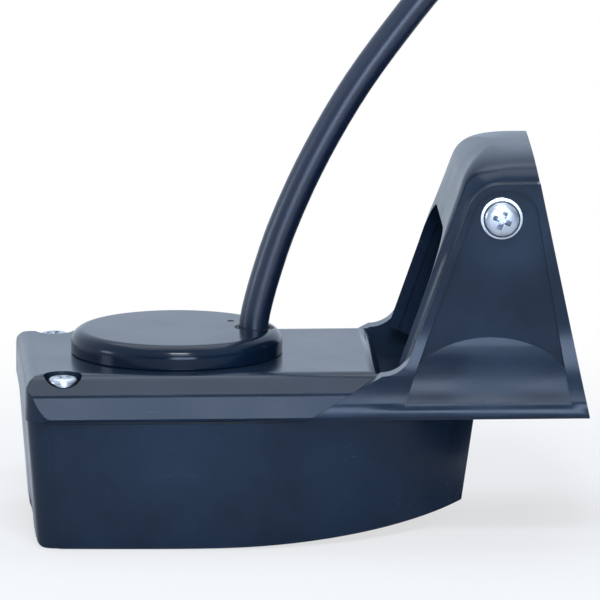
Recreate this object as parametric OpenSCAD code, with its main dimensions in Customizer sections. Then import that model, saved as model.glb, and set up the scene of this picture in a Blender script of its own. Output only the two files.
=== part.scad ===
// Transom-mount sonar transducer: a boat-shaped potted body with a kick-up bracket between two ears.
// +X points to the transom, +Z is up, and the origin is under the middle of the deck at keel level.

/* [Hull] */
// Height from the keel to the seam under the deck
hull_h = 33.5; // [30:0.5:38]
// Length of the hull at the seam, from the trailing face to the stem
hull_l = 117.7; // [112:0.1:124]
// Step from the deck's rim in to the hull's side
rim_step = 0.8; // [0.5:0.1:1.5]
// Step from the deck's trailing edge in to the hull's trailing face
aft_step = 0.4; // [0.2:0.1:1]
// Wall of the hull
hull_wall = 3; // [2.5:0.1:3.5]
// Floor of the hull, the acoustic window under the element
window_t = 3; // [2:0.25:4]
// Radius of the bow's sides, seen from above
bow_r = 76; // [72:1:84]
// Radius of the sides aft of the bow, seen from above
side_r = 600; // [400:10:900]
// Radius of the trailing corners, seen from above
hull_corner_r = 6; // [4:0.5:9]
// How far the trailing face leans in from seam to keel
aft_draft = 2.6; // [1:0.1:4]
// How far each side leans in from seam to keel
side_draft = 1.8; // [1:0.1:3]
// How far the stem leans back from seam to keel
stem_rake = 5; // [3:0.1:7]
// Length of the flat part of the keel
keel_flat_l = 39.2; // [34:0.2:46]
// Radius of the keel where it rises to the stem
keel_r = 560; // [450:10:700]
// Radius at the trailing end of the keel
heel_r = 2; // [1:0.25:3]
// Width of the relief in the trailing edge of the keel
relief_w = 28; // [20:1:36]
// Height of that relief
relief_h = 5; // [3:0.5:7]
// Depth of that relief
relief_in = 1.2; // [0.8:0.1:2]

/* [Deck] */
// Length of the deck, from the trailing edge to the transom
deck_l = 144.8; // [140:0.2:150]
// Width of the deck
deck_w = 80; // [76:1:88]
// Height of the band along the deck's sides
rim_h = 6.2; // [5:0.1:7.5]
// How far that band leans in from seam to top
rim_lean = 2.2; // [1:0.1:3]
// Chamfer under that band
rim_edge = 1; // [0.5:0.1:1.5]
// Width of the ledge on top of that band
ledge_w = 0.4; // [0.2:0.1:0.8]
// Height of the riser from the ledge to the shoulder
ledge_h = 0.7; // [0.4:0.1:1]
// Rise of the crown over the seam
crown_h = 11; // [10:0.25:13]
// Width of the flat top of the crown
crown_w = 62; // [58:1:66]
// Radius between the crown and its shoulders
crown_r = 8; // [4:0.5:12]
// Thickness of the deck's top
deck_t = 3; // [2.5:0.25:3.5]
// Radius of the deck's trailing corners, seen from above
deck_corner_r = 7; // [5:0.5:10]
// Radius of the crown's trailing edge
aft_edge_r = 4; // [2:0.25:5]
// Thickness of the seal in the seam
gasket_t = 0.6; // [0.4:0.1:1]
// Distance of the seal from the hull wall's two faces
gasket_in = 0.3; // [0.2:0.05:0.6]
// Distance of the deck screws from the trailing edge
screw_inset_x = 9.8; // [9:0.1:12]
// Distance of the deck screws from the side edges
screw_inset_y = 9.6; // [9:0.1:10.5]
// Diameter of the counterbores over the deck screws
counterbore_d = 9.8; // [9.4:0.1:10.4]
// Height of a deck screw's seat over the seam
screw_seat_h = 8.2; // [7.6:0.1:8.6]
// Diameter of the deck screws
screw_d = 3.5; // [3:0.1:4]
// Length of the deck screws
screw_l = 16; // [13:0.5:20]
// Diameter of a deck screw's head
screw_head_d = 8; // [7:0.1:8.6]
// Height of a deck screw's head
screw_head_h = 2.4; // [2:0.1:2.8]
// Turn of the deck screws' cross recess
screw_turn = 20; // [0:5:90]
// Rounded share of a screw head's height
head_round = 0.6; // [0.4:0.05:0.8]
// Width of the cross recess, as a share of a screw head's diameter
recess_share = 0.55; // [0.4:0.05:0.6]
// Depth of the cross recess, as a share of a screw head's height
recess_deep = 0.6; // [0.4:0.05:0.7]
// Width of a slot of the cross recess, as a share of the recess
recess_slot = 0.25; // [0.2:0.01:0.35]
// Wall of the posts round the deck screws
post_wall = 2.6; // [2:0.1:3]

/* [Ears and pit] */
// Distance from the deck's side edge to an ear's outer face
ear_inset = 5; // [4:0.25:6]
// Thickness of an ear
ear_t = 4; // [3.5:0.25:5]
// Depth of the recess in an ear's outer face
web_recess = 1.5; // [1:0.1:2]
// Width of the raised edge round the recess
ear_edge = 1.5; // [1.2:0.1:2]
// Width of the raised edge along the transom, at the pivot
strip_top = 2.3; // [2:0.1:3]
// Width of the raised edge along the transom, at the deck
strip_foot = 4.6; // [4:0.2:6]
// Radius of an ear's round top about the pivot
ear_r = 9; // [8.5:0.1:9.8]
// Length of an ear's foot along the deck
ear_foot_l = 51; // [50:0.5:52]
// Radius between an ear's edge and the deck
ear_fillet = 8; // [5:0.5:10]
// Height of the band left under an ear's flare
flare_foot_h = 2.6; // [2:0.1:3.5]
// Height of the hollow flare from that band up to an ear's raised edge
cove_h = 22; // [18:0.5:24]
// Length over which an ear's foot rises out of the deck's side
foot_run = 20; // [12:0.5:24]
// Height of the swelling at the foot of an ear's recess
hill_h = 17.8; // [15:0.2:20]
// Width of that swelling
hill_w = 47; // [42:0.5:50]
// Distance of that swelling's middle from the transom edge
hill_back = 25.5; // [24:0.5:27]
// Radius of that swelling's hollow face
hill_r = 60; // [40:1:90]
// Distance of the pivot from the transom edge of the deck
pivot_back = 22.5; // [21:0.25:24]
// Height of the pivot over the seam
pivot_h = 51.5; // [48:0.5:54]
// Lean of the transom face
transom_lean = 11.7; // [10:0.1:13]
// Length of the pit between the ears
pit_l = 52.5; // [51.5:0.5:54]
// Thickness of the pit's floor
pit_floor = 2.5; // [2:0.25:3]
// Radius of the crown's edge over the pit
pit_edge_r = 4; // [3:0.25:5]

/* [Bracket] */
// Wall of the bracket
bracket_wall = 3; // [2.5:0.1:3.5]
// Gap between the bracket and each ear
side_gap = 0.3; // [0.2:0.05:0.6]
// Height of the hood over the pivot
hood_h = 14; // [13:0.5:16]
// Distance from the pivot to the bracket's open edge, at the pivot's height
bracket_reach = 12.2; // [11.4:0.2:13]
// Lean of the bracket's open edge
bracket_lean = 19.5; // [18:0.1:20.5]
// Radius of the hood's front corner, seen from the side
hood_front_r = 9.5; // [6:0.5:12]
// Radius of the hood's shoulders, seen from behind
hood_side_r = 12; // [9:0.5:13]
// Radius along the bracket's open edges
edge_r = 4; // [2:0.5:5]
// Gap between the bracket's foot and the pit's floor
swing_gap = 2; // [1:0.25:3]
// Height of the arch of the opening, from the pivot
arch_drop = 5.5; // [3:0.5:8]
// Radius of the arch's corners
arch_r = 12; // [8:0.5:14]
// Width of the rib left beside the arch, past the bracket's wall
arch_rib = 1; // [0.5:0.1:2]
// Distance of the adjustment slots' upper ends below the pivot
slot_drop = 8; // [6:0.5:10]
// Width of the two adjustment slots
slot_w = 5.2; // [4.5:0.1:6]
// Length of the two adjustment slots
slot_l = 22; // [16:1:24]
// Distance between the two adjustment slots
slot_pitch = 28; // [24:1:32]
// Diameter of the locking-screw hole
lock_d = 4.6; // [4:0.1:5.5]

/* [Pivot hardware] */
// Diameter of the pivot screws
pivot_d = 5; // [4:0.5:6]
// Radial running clearance of the ears on the pivot screws
pivot_clear = 0.05; // [0.03:0.01:0.08]
// Diameter of a pivot screw's head
pivot_head_d = 9.5; // [9:0.1:10]
// Height of a pivot screw's head
pivot_head_h = 3.2; // [2.6:0.1:3.6]
// Turn of the pivot screws' cross recess
pivot_turn = 25; // [0:5:90]
// Diameter of a pivot washer
washer_d = 11; // [10.4:0.1:12]
// Thickness of a pivot washer
washer_t = 0.9; // [0.6:0.1:1.2]
// Width across the flats of a pivot nut
nut_af = 8; // [7.5:0.1:9]
// Thickness of a pivot nut
nut_t = 4; // [3:0.25:5]
// Height of the boss inside the bracket that seats the nut
boss_h = 2; // [1.5:0.25:3]
// Width of the boss round the nut
boss_rim = 2.4; // [1.5:0.1:3]
// Length of a pivot screw past its nut
screw_past = 1; // [0.5:0.25:2]

/* [Element] */
// Distance of the element's axis from the trailing edge
element_back = 40.3; // [39:0.1:42]
// Diameter of the element cap at the deck
cap_d = 55; // [54.5:0.25:57]
// Height of the element cap over the deck
cap_h = 6.2; // [5:0.2:7]
// Taper of the cap's side, base to top
cap_taper = 1; // [0.5:0.1:1.5]
// Radius of the cap's upper edge
cap_edge_r = 2; // [1:0.1:2.4]
// Diameter of the cap's spigot in the deck
spigot_d = 51.6; // [51.4:0.1:52]
// Clearance between pieces that are fitted into each other
fit = 0.1; // [0.05:0.01:0.15]
// Width of the seal under the cap's edge
seal_w = 0.8; // [0.6:0.05:0.9]
// Diameter of the piezo element
ceramic_d = 41; // [38:0.5:42]
// Diameter of the vent dimple in the cap
vent_d = 1.8; // [1.2:0.1:2.4]
// Distance of the vent dimple from the cap's middle
vent_out = 16.7; // [12:0.1:18]
// Direction of the vent dimple, from the cable's
vent_turn = 31; // [25:1:90]
// Depth of the vent dimple
vent_deep = 1; // [0.5:0.1:1.5]
// Thickness of the piezo element
ceramic_t = 9; // [6:0.5:12]
// Thickness of the cork round and behind the element
cork_t = 3; // [2.5:0.25:3.5]
// Height to which the hull is potted, from the floor
potting_h = 25; // [22:0.5:27]
// Diameter of a lead wire
lead_d = 1.2; // [0.8:0.1:1.4]
// Distance of the inner lead from the element's rim
lead_in = 1.9; // [1.6:0.1:4]

/* [Cable] */
// Diameter of the cable
cable_d = 7.6; // [7:0.1:8]
// Distance of the cable from the element's axis
cable_offset = 20; // [19:0.25:20.5]
// Diameter of the sleeve that holds the cable
gland_d = 10; // [9.6:0.1:10.4]
// Length of that sleeve
gland_l = 9; // [8:0.25:9.5]
// Radius of the coil's innermost turn
coil_r = 31.2; // [30:0.2:34]
// Turns of the coil side by side
coil_rows = 4; // [3:1:5]
// Layers of the coil
coil_layers = 6; // [5:1:7]
// Thickness of the coil's tie
tie_t = 1.2; // [0.8:0.1:1.6]
// Width of the coil's tie
tie_w = 12; // [8:1:16]
// Diameter of the plug's body
plug_d = 17; // [16:0.25:18]
// Length of the plug's body
plug_l = 24; // [20:0.5:28]
// Length of the plug's bend relief
boot_l = 24; // [20:0.5:28]
// Wall of the plug's locking collar
collar_wall = 1.4; // [1:0.1:2]
// Length of the plug's locking collar
collar_l = 12; // [9:0.5:14]
// Length of the collar past the plug's body
collar_past = 2; // [1:0.25:3]
// Grooves round the collar
knurl_count = 24; // [12:1:30]
// Radius of a groove round the collar
knurl_r = 0.6; // [0.4:0.05:0.7]
// Rings cut in the bend relief
ring_count = 5; // [3:1:6]
// Width of a ring cut in the bend relief
ring_w = 1.4; // [1:0.1:1.8]
// Wall of the bend relief at the cable
boot_wall = 1.4; // [1.2:0.1:2]
// Wall left under the rings of the bend relief
ring_wall = 0.8; // [0.6:0.05:1]
// Length of cable inside the bend relief
cable_in = 8; // [5:0.5:12]
// Wall of the plug's socket
socket_wall = 1.5; // [1.2:0.1:2]
// Depth of the plug's socket
socket_deep = 9; // [7:0.5:12]
// Thickness of the contact holder
insert_t = 4; // [3:0.5:5]
// Diameter of a contact
pin_d = 1.4; // [1:0.1:1.8]
// Length of a contact past its holder
pin_l = 4.5; // [3:0.25:5]
// Radius of the ring of contacts
pin_ring = 4.2; // [3.5:0.1:4.8]
// Contacts in the plug
pin_count = 6; // [4:1:7]

/* [Hidden] */
$fn = 96;
big = 400;
housing_black = "#232a33";
bracket_black = "#20262e";
rubber_black = "#1a1d22";
steel = "#b9bec6";

// Stations along the object
x_aft = -deck_l / 2;
x_transom = deck_l / 2;
x_heel = x_aft + aft_step;
x_stem = x_heel + hull_l;
x_element = x_aft + element_back;
x_cable = x_element + cable_offset;
x_pit = x_transom - pit_l;
x_screw = x_aft + screw_inset_x;
y_screw = deck_w / 2 - screw_inset_y;
screw_post_r = screw_d / 2 + post_wall;
x_foot = x_transom - ear_foot_l;

// Heights
z_seam = hull_h;
z_hull_top = z_seam - gasket_t;
z_crown = z_seam + crown_h;
z_ceiling = z_crown - deck_t;
z_cap = z_crown + cap_h;
z_foot = z_seam + flare_foot_h;
z_cove = z_foot + cove_h;
z_hill = z_foot + hill_h;
z_ledge = z_seam + rim_h;
z_screw_seat = z_seam + screw_seat_h;

// Plan of the hull: bow arcs that meet at the stem, then nearly straight sides
hull_half = deck_w / 2 - rim_step;
bow_l = sqrt(pow(bow_r, 2) - pow(bow_r - hull_half, 2));
x_bow = x_stem - bow_l;
x_corner = x_heel + hull_corner_r;
y_corner = hull_half - side_r + sqrt(pow(side_r, 2) - pow(x_bow - x_heel, 2)) - hull_corner_r;
taper_x = 1 - (aft_draft + stem_rake) / hull_l;
taper_y = 1 - side_draft / hull_half;
x_taper = x_heel + aft_draft / (1 - taper_x);

// Ears and pivot
pivot = [x_transom - pivot_back, z_seam + pivot_h];
ear_out = deck_w / 2 - ear_inset;
ear_in = ear_out - ear_t;
ear_web = ear_out - web_recess;
pivot_bore_r = pivot_d / 2 + pivot_clear;

// Bracket
bracket_half = ear_in - side_gap;
bracket_in = bracket_half - bracket_wall;
boss_in = bracket_in - boss_h;
swing_r = pivot_h - pit_floor - swing_gap;
z_hood = pivot[1] + hood_h;
nut_r = nut_af / sqrt(3);
boss_r = nut_r + boss_rim;

// Piezo stack
cork_r = ceramic_d / 2 + fit + cork_t;
z_ceramic_top = window_t + ceramic_t;
z_cork_top = z_ceramic_top + cork_t;
z_potting = window_t + potting_h;
z_cable_end = z_cap - gland_l;
lead_r = lead_d / 2;
lead_in_x = x_element + ceramic_d / 2 - lead_in;
lead_out_x = x_element + ceramic_d / 2 + fit + lead_r;

// Coil and plug
coil_at = [143, 19.5];
coil_base = tie_t + fit;
coil_in = coil_r - cable_d / 2;
coil_out = coil_in + coil_rows * cable_d;
coil_top = coil_base + coil_layers * cable_d;
plug_r = plug_d / 2;
collar_r = plug_r + fit + collar_wall;
plug_at = [190, 3.5, coil_top + collar_r + fit];
lie = coil_top + cable_d / 2 + fit;

// Route of the cable: up out of the cap, over in an arch, and down onto the coil
cable_route = [[x_cable, 0, z_cable_end], [x_cable, 0, z_cap], [-10.9, 0, 58], [-8.6, 0, 66],
    [-5.4, 0, 75.5], [-0.1, 0, 88], [6.5, 0, 101], [14.6, 0, 114.5], [24.7, 0, 128.5], [35.6, 0, 142],
    [47.3, 3, 153], [61, 9, 160],
    [76, 18, 161], [91, 28, 154], [102, 38, 141], [108.5, 46, 125], [111.5, 52, 108], [112, 54.5, 88],
    [112, 50, 69.5], [112, 37, lie + 4.6], [112, 19.5, lie]];
// Route of the tail: off the coil's last turn and round to the plug
tail_route = [[170, -30, lie], [180.5, -22, lie + 1], [187, -13, lie + 3.4], [plug_at[0], -4, plug_at[2]],
    plug_at, plug_at + [0, cable_in, 0]];

// A slab with its outline in X and Z, from y0 on along Y
module slab(y0, t) {
    translate([0, y0 + t, 0]) rotate([90, 0, 0]) linear_extrude(t) children();
}

// A run with its section in Y and Z, from x0 on along X
module run(x0, l) {
    translate([x0, 0, 0]) rotate([90, 0, 90]) linear_extrude(l) children();
}

// The same on both sides of the centre plane
module both_sides() {
    children();
    mirror([0, 1, 0]) children();
}

// A pin along Y, from y0 to y1 at the pivot
module pivot_pin(y0, y1, r, sides = 96) {
    translate([pivot[0], y0, pivot[1]]) rotate([-90, 0, 0]) cylinder(h = y1 - y0, r = r, $fn = sides);
}

function x_on_transom(z) = x_transom - (z - z_seam) * tan(transom_lean);
function arc(c, r, a0, a1, n) = [for (i = [0:n]) let (a = a0 + (a1 - a0) * i / n) c + r * [cos(a), sin(a)]];
// The point where a line from p touches the circle round c, on the left of the line when s is 1
function touch(p, c, r, s) = let (d = norm(p - c), a = acos(r / d) * s, u = (p - c) / d)
    c + r * [u[0] * cos(a) - u[1] * sin(a), u[0] * sin(a) + u[1] * cos(a)];

// Direction of v, from 0 to a full turn
function turn_of(v) = (atan2(v[1], v[0]) + 360) % 360;
// Points on a hollow curve of radius r from a down to b
function hollow(a, b, r, n) =
    let (d = b - a, c = (a + b) / 2 + sqrt(r * r - d * d / 4) * [-d[1], d[0]] / norm(d))
    arc(c, r, turn_of(a - c), turn_of(b - c), n);

// Hull outline from above, drawn in by inset
module hull_plan(inset) {
    intersection() {
        intersection_for (t = [-1, 1])
            translate([x_bow, t * (bow_r - hull_half)]) circle(bow_r - inset, $fn = 240);
        translate([x_bow - fit, -deck_w]) square([deck_l, 2 * deck_w]);
    }
    intersection() {
        intersection_for (t = [-1, 1])
            translate([x_bow, t * (side_r - hull_half)]) circle(side_r - inset, $fn = 720);
        polygon(concat(arc([x_corner, -y_corner], hull_corner_r - inset, 270, 180, 12),
            arc([x_corner, y_corner], hull_corner_r - inset, 180, 90, 12),
            [[x_corner, deck_w], [x_bow, deck_w], [x_bow, -deck_w], [x_corner, -deck_w]]));
    }
}

// Keel line from the side, raised by lift and closed at the height top
module keel_side(lift, top) {
    x_rise = x_heel + keel_flat_l;
    turn = asin((x_stem - x_rise + 1) / keel_r);
    polygon(concat([[x_heel - 1, top], [x_heel - 1, lift + heel_r]],
        arc([x_heel + aft_draft + heel_r, lift + heel_r], heel_r, 180, 270, 6),
        arc([x_rise, lift + keel_r], keel_r, 270, 270 + turn, 16), [[x_stem + 1, top]]));
}

// Hull as a drafted block, drawn in by inset, with its keel raised by lift and its top at the height top
module hull_form(inset, lift, top) {
    intersection() {
        translate([x_taper, 0, z_seam]) mirror([0, 0, 1])
            linear_extrude(z_seam, scale = [taper_x, taper_y], slices = 1)
                translate([-x_taper, 0]) hull_plan(inset);
        slab(-deck_w, 2 * deck_w) keel_side(lift, top);
    }
}

// Posts round the deck screws, each run out to the side wall
module screw_posts(grow, z0, z1) {
    r = screw_post_r + grow;
    both_sides() translate([x_screw, y_screw, z0]) {
        cylinder(h = z1 - z0, r = r);
        translate([-r, 0, 0]) cube([2 * r, deck_w, z1 - z0]);
    }
}

module lower_hull() {
    color(housing_black) difference() {
        hull_form(0, 0, z_hull_top);
        difference() {
            hull_form(hull_wall, window_t, z_seam);
            screw_posts(0, 0, z_seam);
        }
        for (s = [-1, 1]) translate([x_screw, s * y_screw, z_screw_seat - screw_l - fit])
            cylinder(h = big, r = screw_d / 2 + fit / 2);
        translate([x_element, 0, window_t]) cylinder(h = ceramic_t, r = cork_r + fit);
        translate([x_heel, -relief_w / 2, -1]) cube([aft_draft + relief_in, relief_w, relief_h + 1]);
    }
}

module deck_gasket() {
    color(rubber_black) translate([0, 0, z_hull_top]) linear_extrude(gasket_t) difference() {
        hull_plan(gasket_in);
        hull_plan(hull_wall - gasket_in);
    }
}

// Deck from behind: leaning band, ledge, falling shoulders, flat crown
module crown_section() {
    band = deck_w / 2 - rim_lean;
    eave = [band - ledge_w, z_ledge + ledge_h];
    fall = atan2(z_crown - eave[1], eave[0] - crown_w / 2);
    shoulder = crown_w / 2 - crown_r * tan(fall / 2);
    right = concat([[deck_w / 2 - rim_edge, z_seam], [deck_w / 2, z_seam + rim_edge], [band, z_ledge],
        [eave[0], z_ledge], eave], arc([shoulder, z_crown - crown_r], crown_r, 90 - fall, 90, 8));
    left = [for (i = [len(right) - 1:-1:0]) [-right[i][0], right[i][1]]];
    polygon(concat(right, left));
}

// Deck from the side: rounded trailing edge, transom face at the other end
module deck_side() {
    polygon(concat([[x_aft, z_seam]],
        arc([x_aft + aft_edge_r, z_crown - aft_edge_r], aft_edge_r, 180, 90, 8),
        [[x_on_transom(z_crown), z_crown], [x_transom, z_seam]]));
}

// Deck from above, with rounded trailing corners
module deck_plan() {
    for (s = [-1, 1]) translate([x_aft + deck_corner_r, s * (deck_w / 2 - deck_corner_r)])
        circle(deck_corner_r);
    translate([x_aft, deck_corner_r - deck_w / 2]) square([deck_l, deck_w - 2 * deck_corner_r]);
    translate([x_aft + deck_corner_r, -deck_w / 2]) square([deck_l - deck_corner_r, deck_w]);
}

// Ear from the side: round top about the pivot, leaning edges down to the deck
module ear_side() {
    foot = [x_foot, z_foot];
    top = pivot[1] + ear_r;
    side = touch(foot, pivot, ear_r, -1);
    rise = atan2(side[1] - foot[1], side[0] - foot[0]);
    x_edge = x_foot + (z_crown - z_foot) / tan(rise);
    x_fillet = x_edge - ear_fillet * tan(rise / 2);
    translate(pivot) circle(ear_r);
    polygon(concat([[x_fillet - foot_run, z_seam]],
        arc([x_fillet, z_crown + ear_fillet], ear_fillet, 270, 270 + rise, 8),
        [side, pivot, [pivot[0], top], [x_on_transom(top), top], [x_transom, z_seam]]));
}

// Recess in the ear from the side, with a round top that runs on to the transom's strip
module web_side() {
    foot = [x_foot + 2 * ear_edge, z_foot];
    r = ear_r - ear_edge;
    x_strip = x_on_transom(pivot[1]) - strip_top;
    for (x = [pivot[0], x_strip - r]) translate([x, pivot[1]]) circle(r);
    translate(pivot) square([x_strip - r - pivot[0], r]);
    polygon([foot, touch(foot, pivot, r, -1), pivot, [x_strip, pivot[1]],
        [x_transom - strip_foot, z_foot]]);
}

// Space outside an ear, from behind: clear of its face, then a hollow flare out to the deck's side
module flare_section() {
    out = deck_w / 2 - ear_out;
    flare_r = (pow(out, 2) + pow(cove_h, 2)) / (2 * out);
    polygon(concat([[big, z_foot], [big, big], [ear_out, big]],
        hollow([ear_out, z_cove], [deck_w / 2, z_foot], flare_r, 10)));
}

// Swelling at the foot of an ear's recess: a hollow face with an arched outline
module hill() {
    middle = [x_transom - hill_back, z_foot];
    intersection() {
        run(-big / 2, big) polygon(concat([[ear_in, z_seam], [ear_in, z_hill]],
            hollow([ear_web, z_hill], [deck_w / 2, z_foot], hill_r, 8), [[deck_w / 2, z_seam]]));
        slab(0, deck_w) polygon([for (a = [-90:7.5:270]) middle + [hill_w / 2 * cos(a), hill_h * sin(a)]]);
    }
}

module ear() {
    difference() {
        slab(ear_in, deck_w / 2 - ear_in) ear_side();
        run(-big / 2, big) flare_section();
        run(-big / 2, big) translate([deck_w / 2, z_seam])
            polygon([[-rim_edge - 1, -1], [1, -1], [1, rim_edge + 1]]);
        difference() {
            slab(ear_web, deck_w) web_side();
            hill();
        }
    }
}

// Pit from the side, with the crown's edge rounded down into it
module pit_side() {
    translate([x_pit, z_seam + pit_floor]) square(big);
    difference() {
        translate([x_pit - pit_edge_r, z_crown - pit_edge_r]) square([pit_edge_r + fit, big]);
        translate([x_pit - pit_edge_r, z_crown - pit_edge_r]) circle(pit_edge_r);
    }
}

// Sunk seats of the deck screws
module screw_seats() {
    for (s = [-1, 1]) translate([x_screw, s * y_screw, 0]) {
        cylinder(h = big, r = screw_d / 2 + fit);
        translate([0, 0, z_screw_seat]) cylinder(h = big, d = counterbore_d);
    }
}

module deck_shell() {
    difference() {
        intersection() {
            run(x_aft, deck_l) crown_section();
            slab(-deck_w / 2, deck_w) deck_side();
            linear_extrude(big) deck_plan();
        }
        slab(-ear_in, 2 * ear_in) pit_side();
        difference() {
            intersection() {
                translate([0, 0, z_seam - 1]) linear_extrude(big) intersection() {
                    hull_plan(hull_wall);
                    translate([x_aft, -deck_w]) square([x_pit - pit_edge_r - x_aft, 2 * deck_w]);
                }
                run(-big / 2, big) translate([0, -deck_t]) crown_section();
            }
            screw_posts(1, z_seam - deck_t - 1, z_crown);
        }
    }
}

module top_deck() {
    color(housing_black) difference() {
        union() {
            deck_shell();
            both_sides() ear();
        }
        translate([x_element, 0, 0]) cylinder(h = big, d = spigot_d + 2 * fit);
        screw_seats();
        pivot_pin(-deck_w, deck_w, pivot_bore_r);
    }
}

module element_cap() {
    base_r = cap_d / 2;
    top_r = base_r - cap_taper;
    color(housing_black) difference() {
        translate([x_element, 0, 0]) rotate_extrude($fn = 180) {
            square([spigot_d / 2, z_crown]);
            polygon(concat([[0, z_crown], [base_r, z_crown]],
                arc([top_r - cap_edge_r, z_cap - cap_edge_r], cap_edge_r, 0, 90, 8), [[0, z_cap]]));
        }
        translate([0, 0, -1]) cylinder(h = z_ceiling + 1, r = big);
        translate([x_element, 0, z_crown - fit]) difference() {
            cylinder(h = seal_w, r = spigot_d / 2 + seal_w + fit);
            cylinder(h = seal_w, r = spigot_d / 2);
        }
        translate([x_cable, 0, 0]) cylinder(h = big, d = gland_d + 2 * fit);
        translate([x_element, 0, z_cap - vent_deep]) rotate(vent_turn) translate([vent_out, 0, 0])
            cylinder(h = big, d = vent_d);
    }
}

module cap_seal() {
    color(rubber_black) translate([x_element, 0, z_crown]) difference() {
        cylinder(h = seal_w - 2 * fit, r = spigot_d / 2 + seal_w);
        cylinder(h = seal_w, r = spigot_d / 2 + fit / 2);
    }
}

module cable_gland() {
    color(rubber_black) translate([x_cable, 0, z_cable_end]) difference() {
        cylinder(h = gland_l, d = gland_d);
        cylinder(h = big, d = cable_d + fit, center = true);
    }
}

module ceramic_disc() {
    color("#d8d2c2") translate([x_element, 0, window_t]) cylinder(h = ceramic_t, d = ceramic_d);
}

// Straight leads down from the cable, thickened by grow
module leads(grow) {
    translate([lead_in_x, 0, z_ceramic_top]) cylinder(h = z_cable_end - z_ceramic_top, r = lead_r + grow);
    translate([lead_out_x, 0, window_t]) cylinder(h = z_cable_end - window_t, r = lead_r + grow);
}

module cork_sleeve() {
    color("#a9794b") difference() {
        translate([x_element, 0, window_t]) cylinder(h = ceramic_t, r = cork_r);
        translate([x_element, 0, 0]) cylinder(h = big, d = ceramic_d + 2 * fit);
        leads(fit);
    }
}

module cork_backing() {
    color("#a9794b") difference() {
        translate([x_element, 0, z_ceramic_top]) cylinder(h = cork_t, r = cork_r);
        leads(fit);
    }
}

module potting_fill() {
    color("#3a3530") difference() {
        hull_form(hull_wall + fit, window_t, z_potting);
        translate([x_element, 0, 0]) cylinder(h = z_cork_top, r = cork_r + fit);
        screw_posts(fit, 0, z_seam);
        leads(fit);
    }
}

module lead_wires() {
    color("#b5562f") leads(0);
}

// Cross recess of a Phillips head, deep from z = 0 down
module cross_recess(size, deep) {
    slot = size * recess_slot;
    for (a = [0, 90]) rotate(a) translate([-size / 2, -slot / 2, -deep]) cube([size, slot, deep + 1]);
}

// Pan head on z = 0 with its shank below
module pan_screw(d, l, head_d, head_h) {
    r = head_h * head_round;
    difference() {
        union() {
            rotate_extrude() polygon(concat([[0, 0], [head_d / 2, 0]],
                arc([head_d / 2 - r, head_h - r], r, 0, 90, 6), [[0, head_h]]));
            translate([0, 0, -l]) cylinder(h = l, d = d);
        }
        translate([0, 0, head_h]) cross_recess(head_d * recess_share, head_h * recess_deep);
    }
}

module deck_screws() {
    color(steel) for (s = [-1, 1]) translate([x_screw, s * y_screw, z_screw_seat]) rotate(screw_turn * s)
        pan_screw(screw_d, screw_l, screw_head_d, screw_head_h);
}

// Bracket from the side, drawn in by inset at the hood and the transom
module bracket_side(inset) {
    lean = tan(bracket_lean);
    top = z_hood - inset;
    x_open = pivot[0] - bracket_reach + (top - pivot[1]) * lean;
    r = hood_front_r;
    c = [x_open + r * (1 / cos(bracket_lean) - lean), top - r];
    polygon(concat([[pivot[0] - bracket_reach - pivot_h * lean, z_seam]],
        arc(c, r, 180 - bracket_lean, 90, 8),
        [[x_on_transom(top) - inset / cos(transom_lean), top],
        [x_on_transom(z_seam) - inset / cos(transom_lean), z_seam]]));
}

// Bracket from behind, drawn in by inset
module bracket_section(inset) {
    half = bracket_half - inset;
    top = z_hood - inset;
    r = hood_side_r - inset;
    for (s = [-1, 1]) translate([s * (half - r), top - r]) circle(r);
    translate([-half, 0]) square([2 * half, top - r]);
    translate([r - half, 0]) square([2 * (half - r), top]);
}

// Arched opening in the bracket's open side, from behind
module arch_section() {
    top = pivot[1] - arch_drop;
    half = bracket_in - arch_rib;
    r = arch_r;
    for (s = [-1, 1]) translate([s * (half - r), top - r]) circle(r);
    translate([-half, 0]) square([2 * half, top - r]);
    translate([r - half, 0]) square([2 * (half - r), top]);
}

// Holes in the transom wall, drilled square to it
module transom_holes() {
    z_slot = pivot[1] - slot_drop;
    translate([x_on_transom(z_slot), 0, z_slot]) rotate([0, -transom_lean, 0]) {
        for (s = [-1, 1]) translate([0, s * slot_pitch / 2, 0]) {
            for (e = [0, -1]) translate([0, 0, e * (slot_l - slot_w)]) rotate([0, 90, 0])
                cylinder(h = 4 * bracket_wall, d = slot_w, center = true);
            translate([-2 * bracket_wall, -slot_w / 2, slot_w - slot_l])
                cube([4 * bracket_wall, slot_w, slot_l - slot_w]);
        }
        translate([0, 0, -(slot_l - slot_w) / 2]) rotate([0, 90, 0])
            cylinder(h = 4 * bracket_wall, d = lock_d, center = true);
    }
}

// Space kept by the bracket's open edges, rounded along their lean
module open_edges() {
    inner = bracket_half - edge_r;
    translate([pivot[0] - bracket_reach, 0, pivot[1]]) rotate([0, bracket_lean, 0])
        translate([0, 0, -big / 2]) linear_extrude(big) {
            for (s = [-1, 1]) translate([edge_r, s * inner]) circle(edge_r);
            translate([0, -inner]) square([big, 2 * inner]);
            translate([edge_r, -bracket_half]) square([big, 2 * bracket_half]);
        }
}

module bracket_hollow() {
    intersection() {
        slab(-deck_w, 2 * deck_w) bracket_side(bracket_wall);
        run(-big / 2, big) bracket_section(bracket_wall);
        translate([bracket_wall, 0, 0]) slab(-deck_w, 2 * deck_w) bracket_side(0);
    }
    intersection() {
        slab(-deck_w, 2 * deck_w) translate([-big, 0])
            square([big + pivot[0], big]);
        run(-big / 2, big) arch_section();
    }
}

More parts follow.
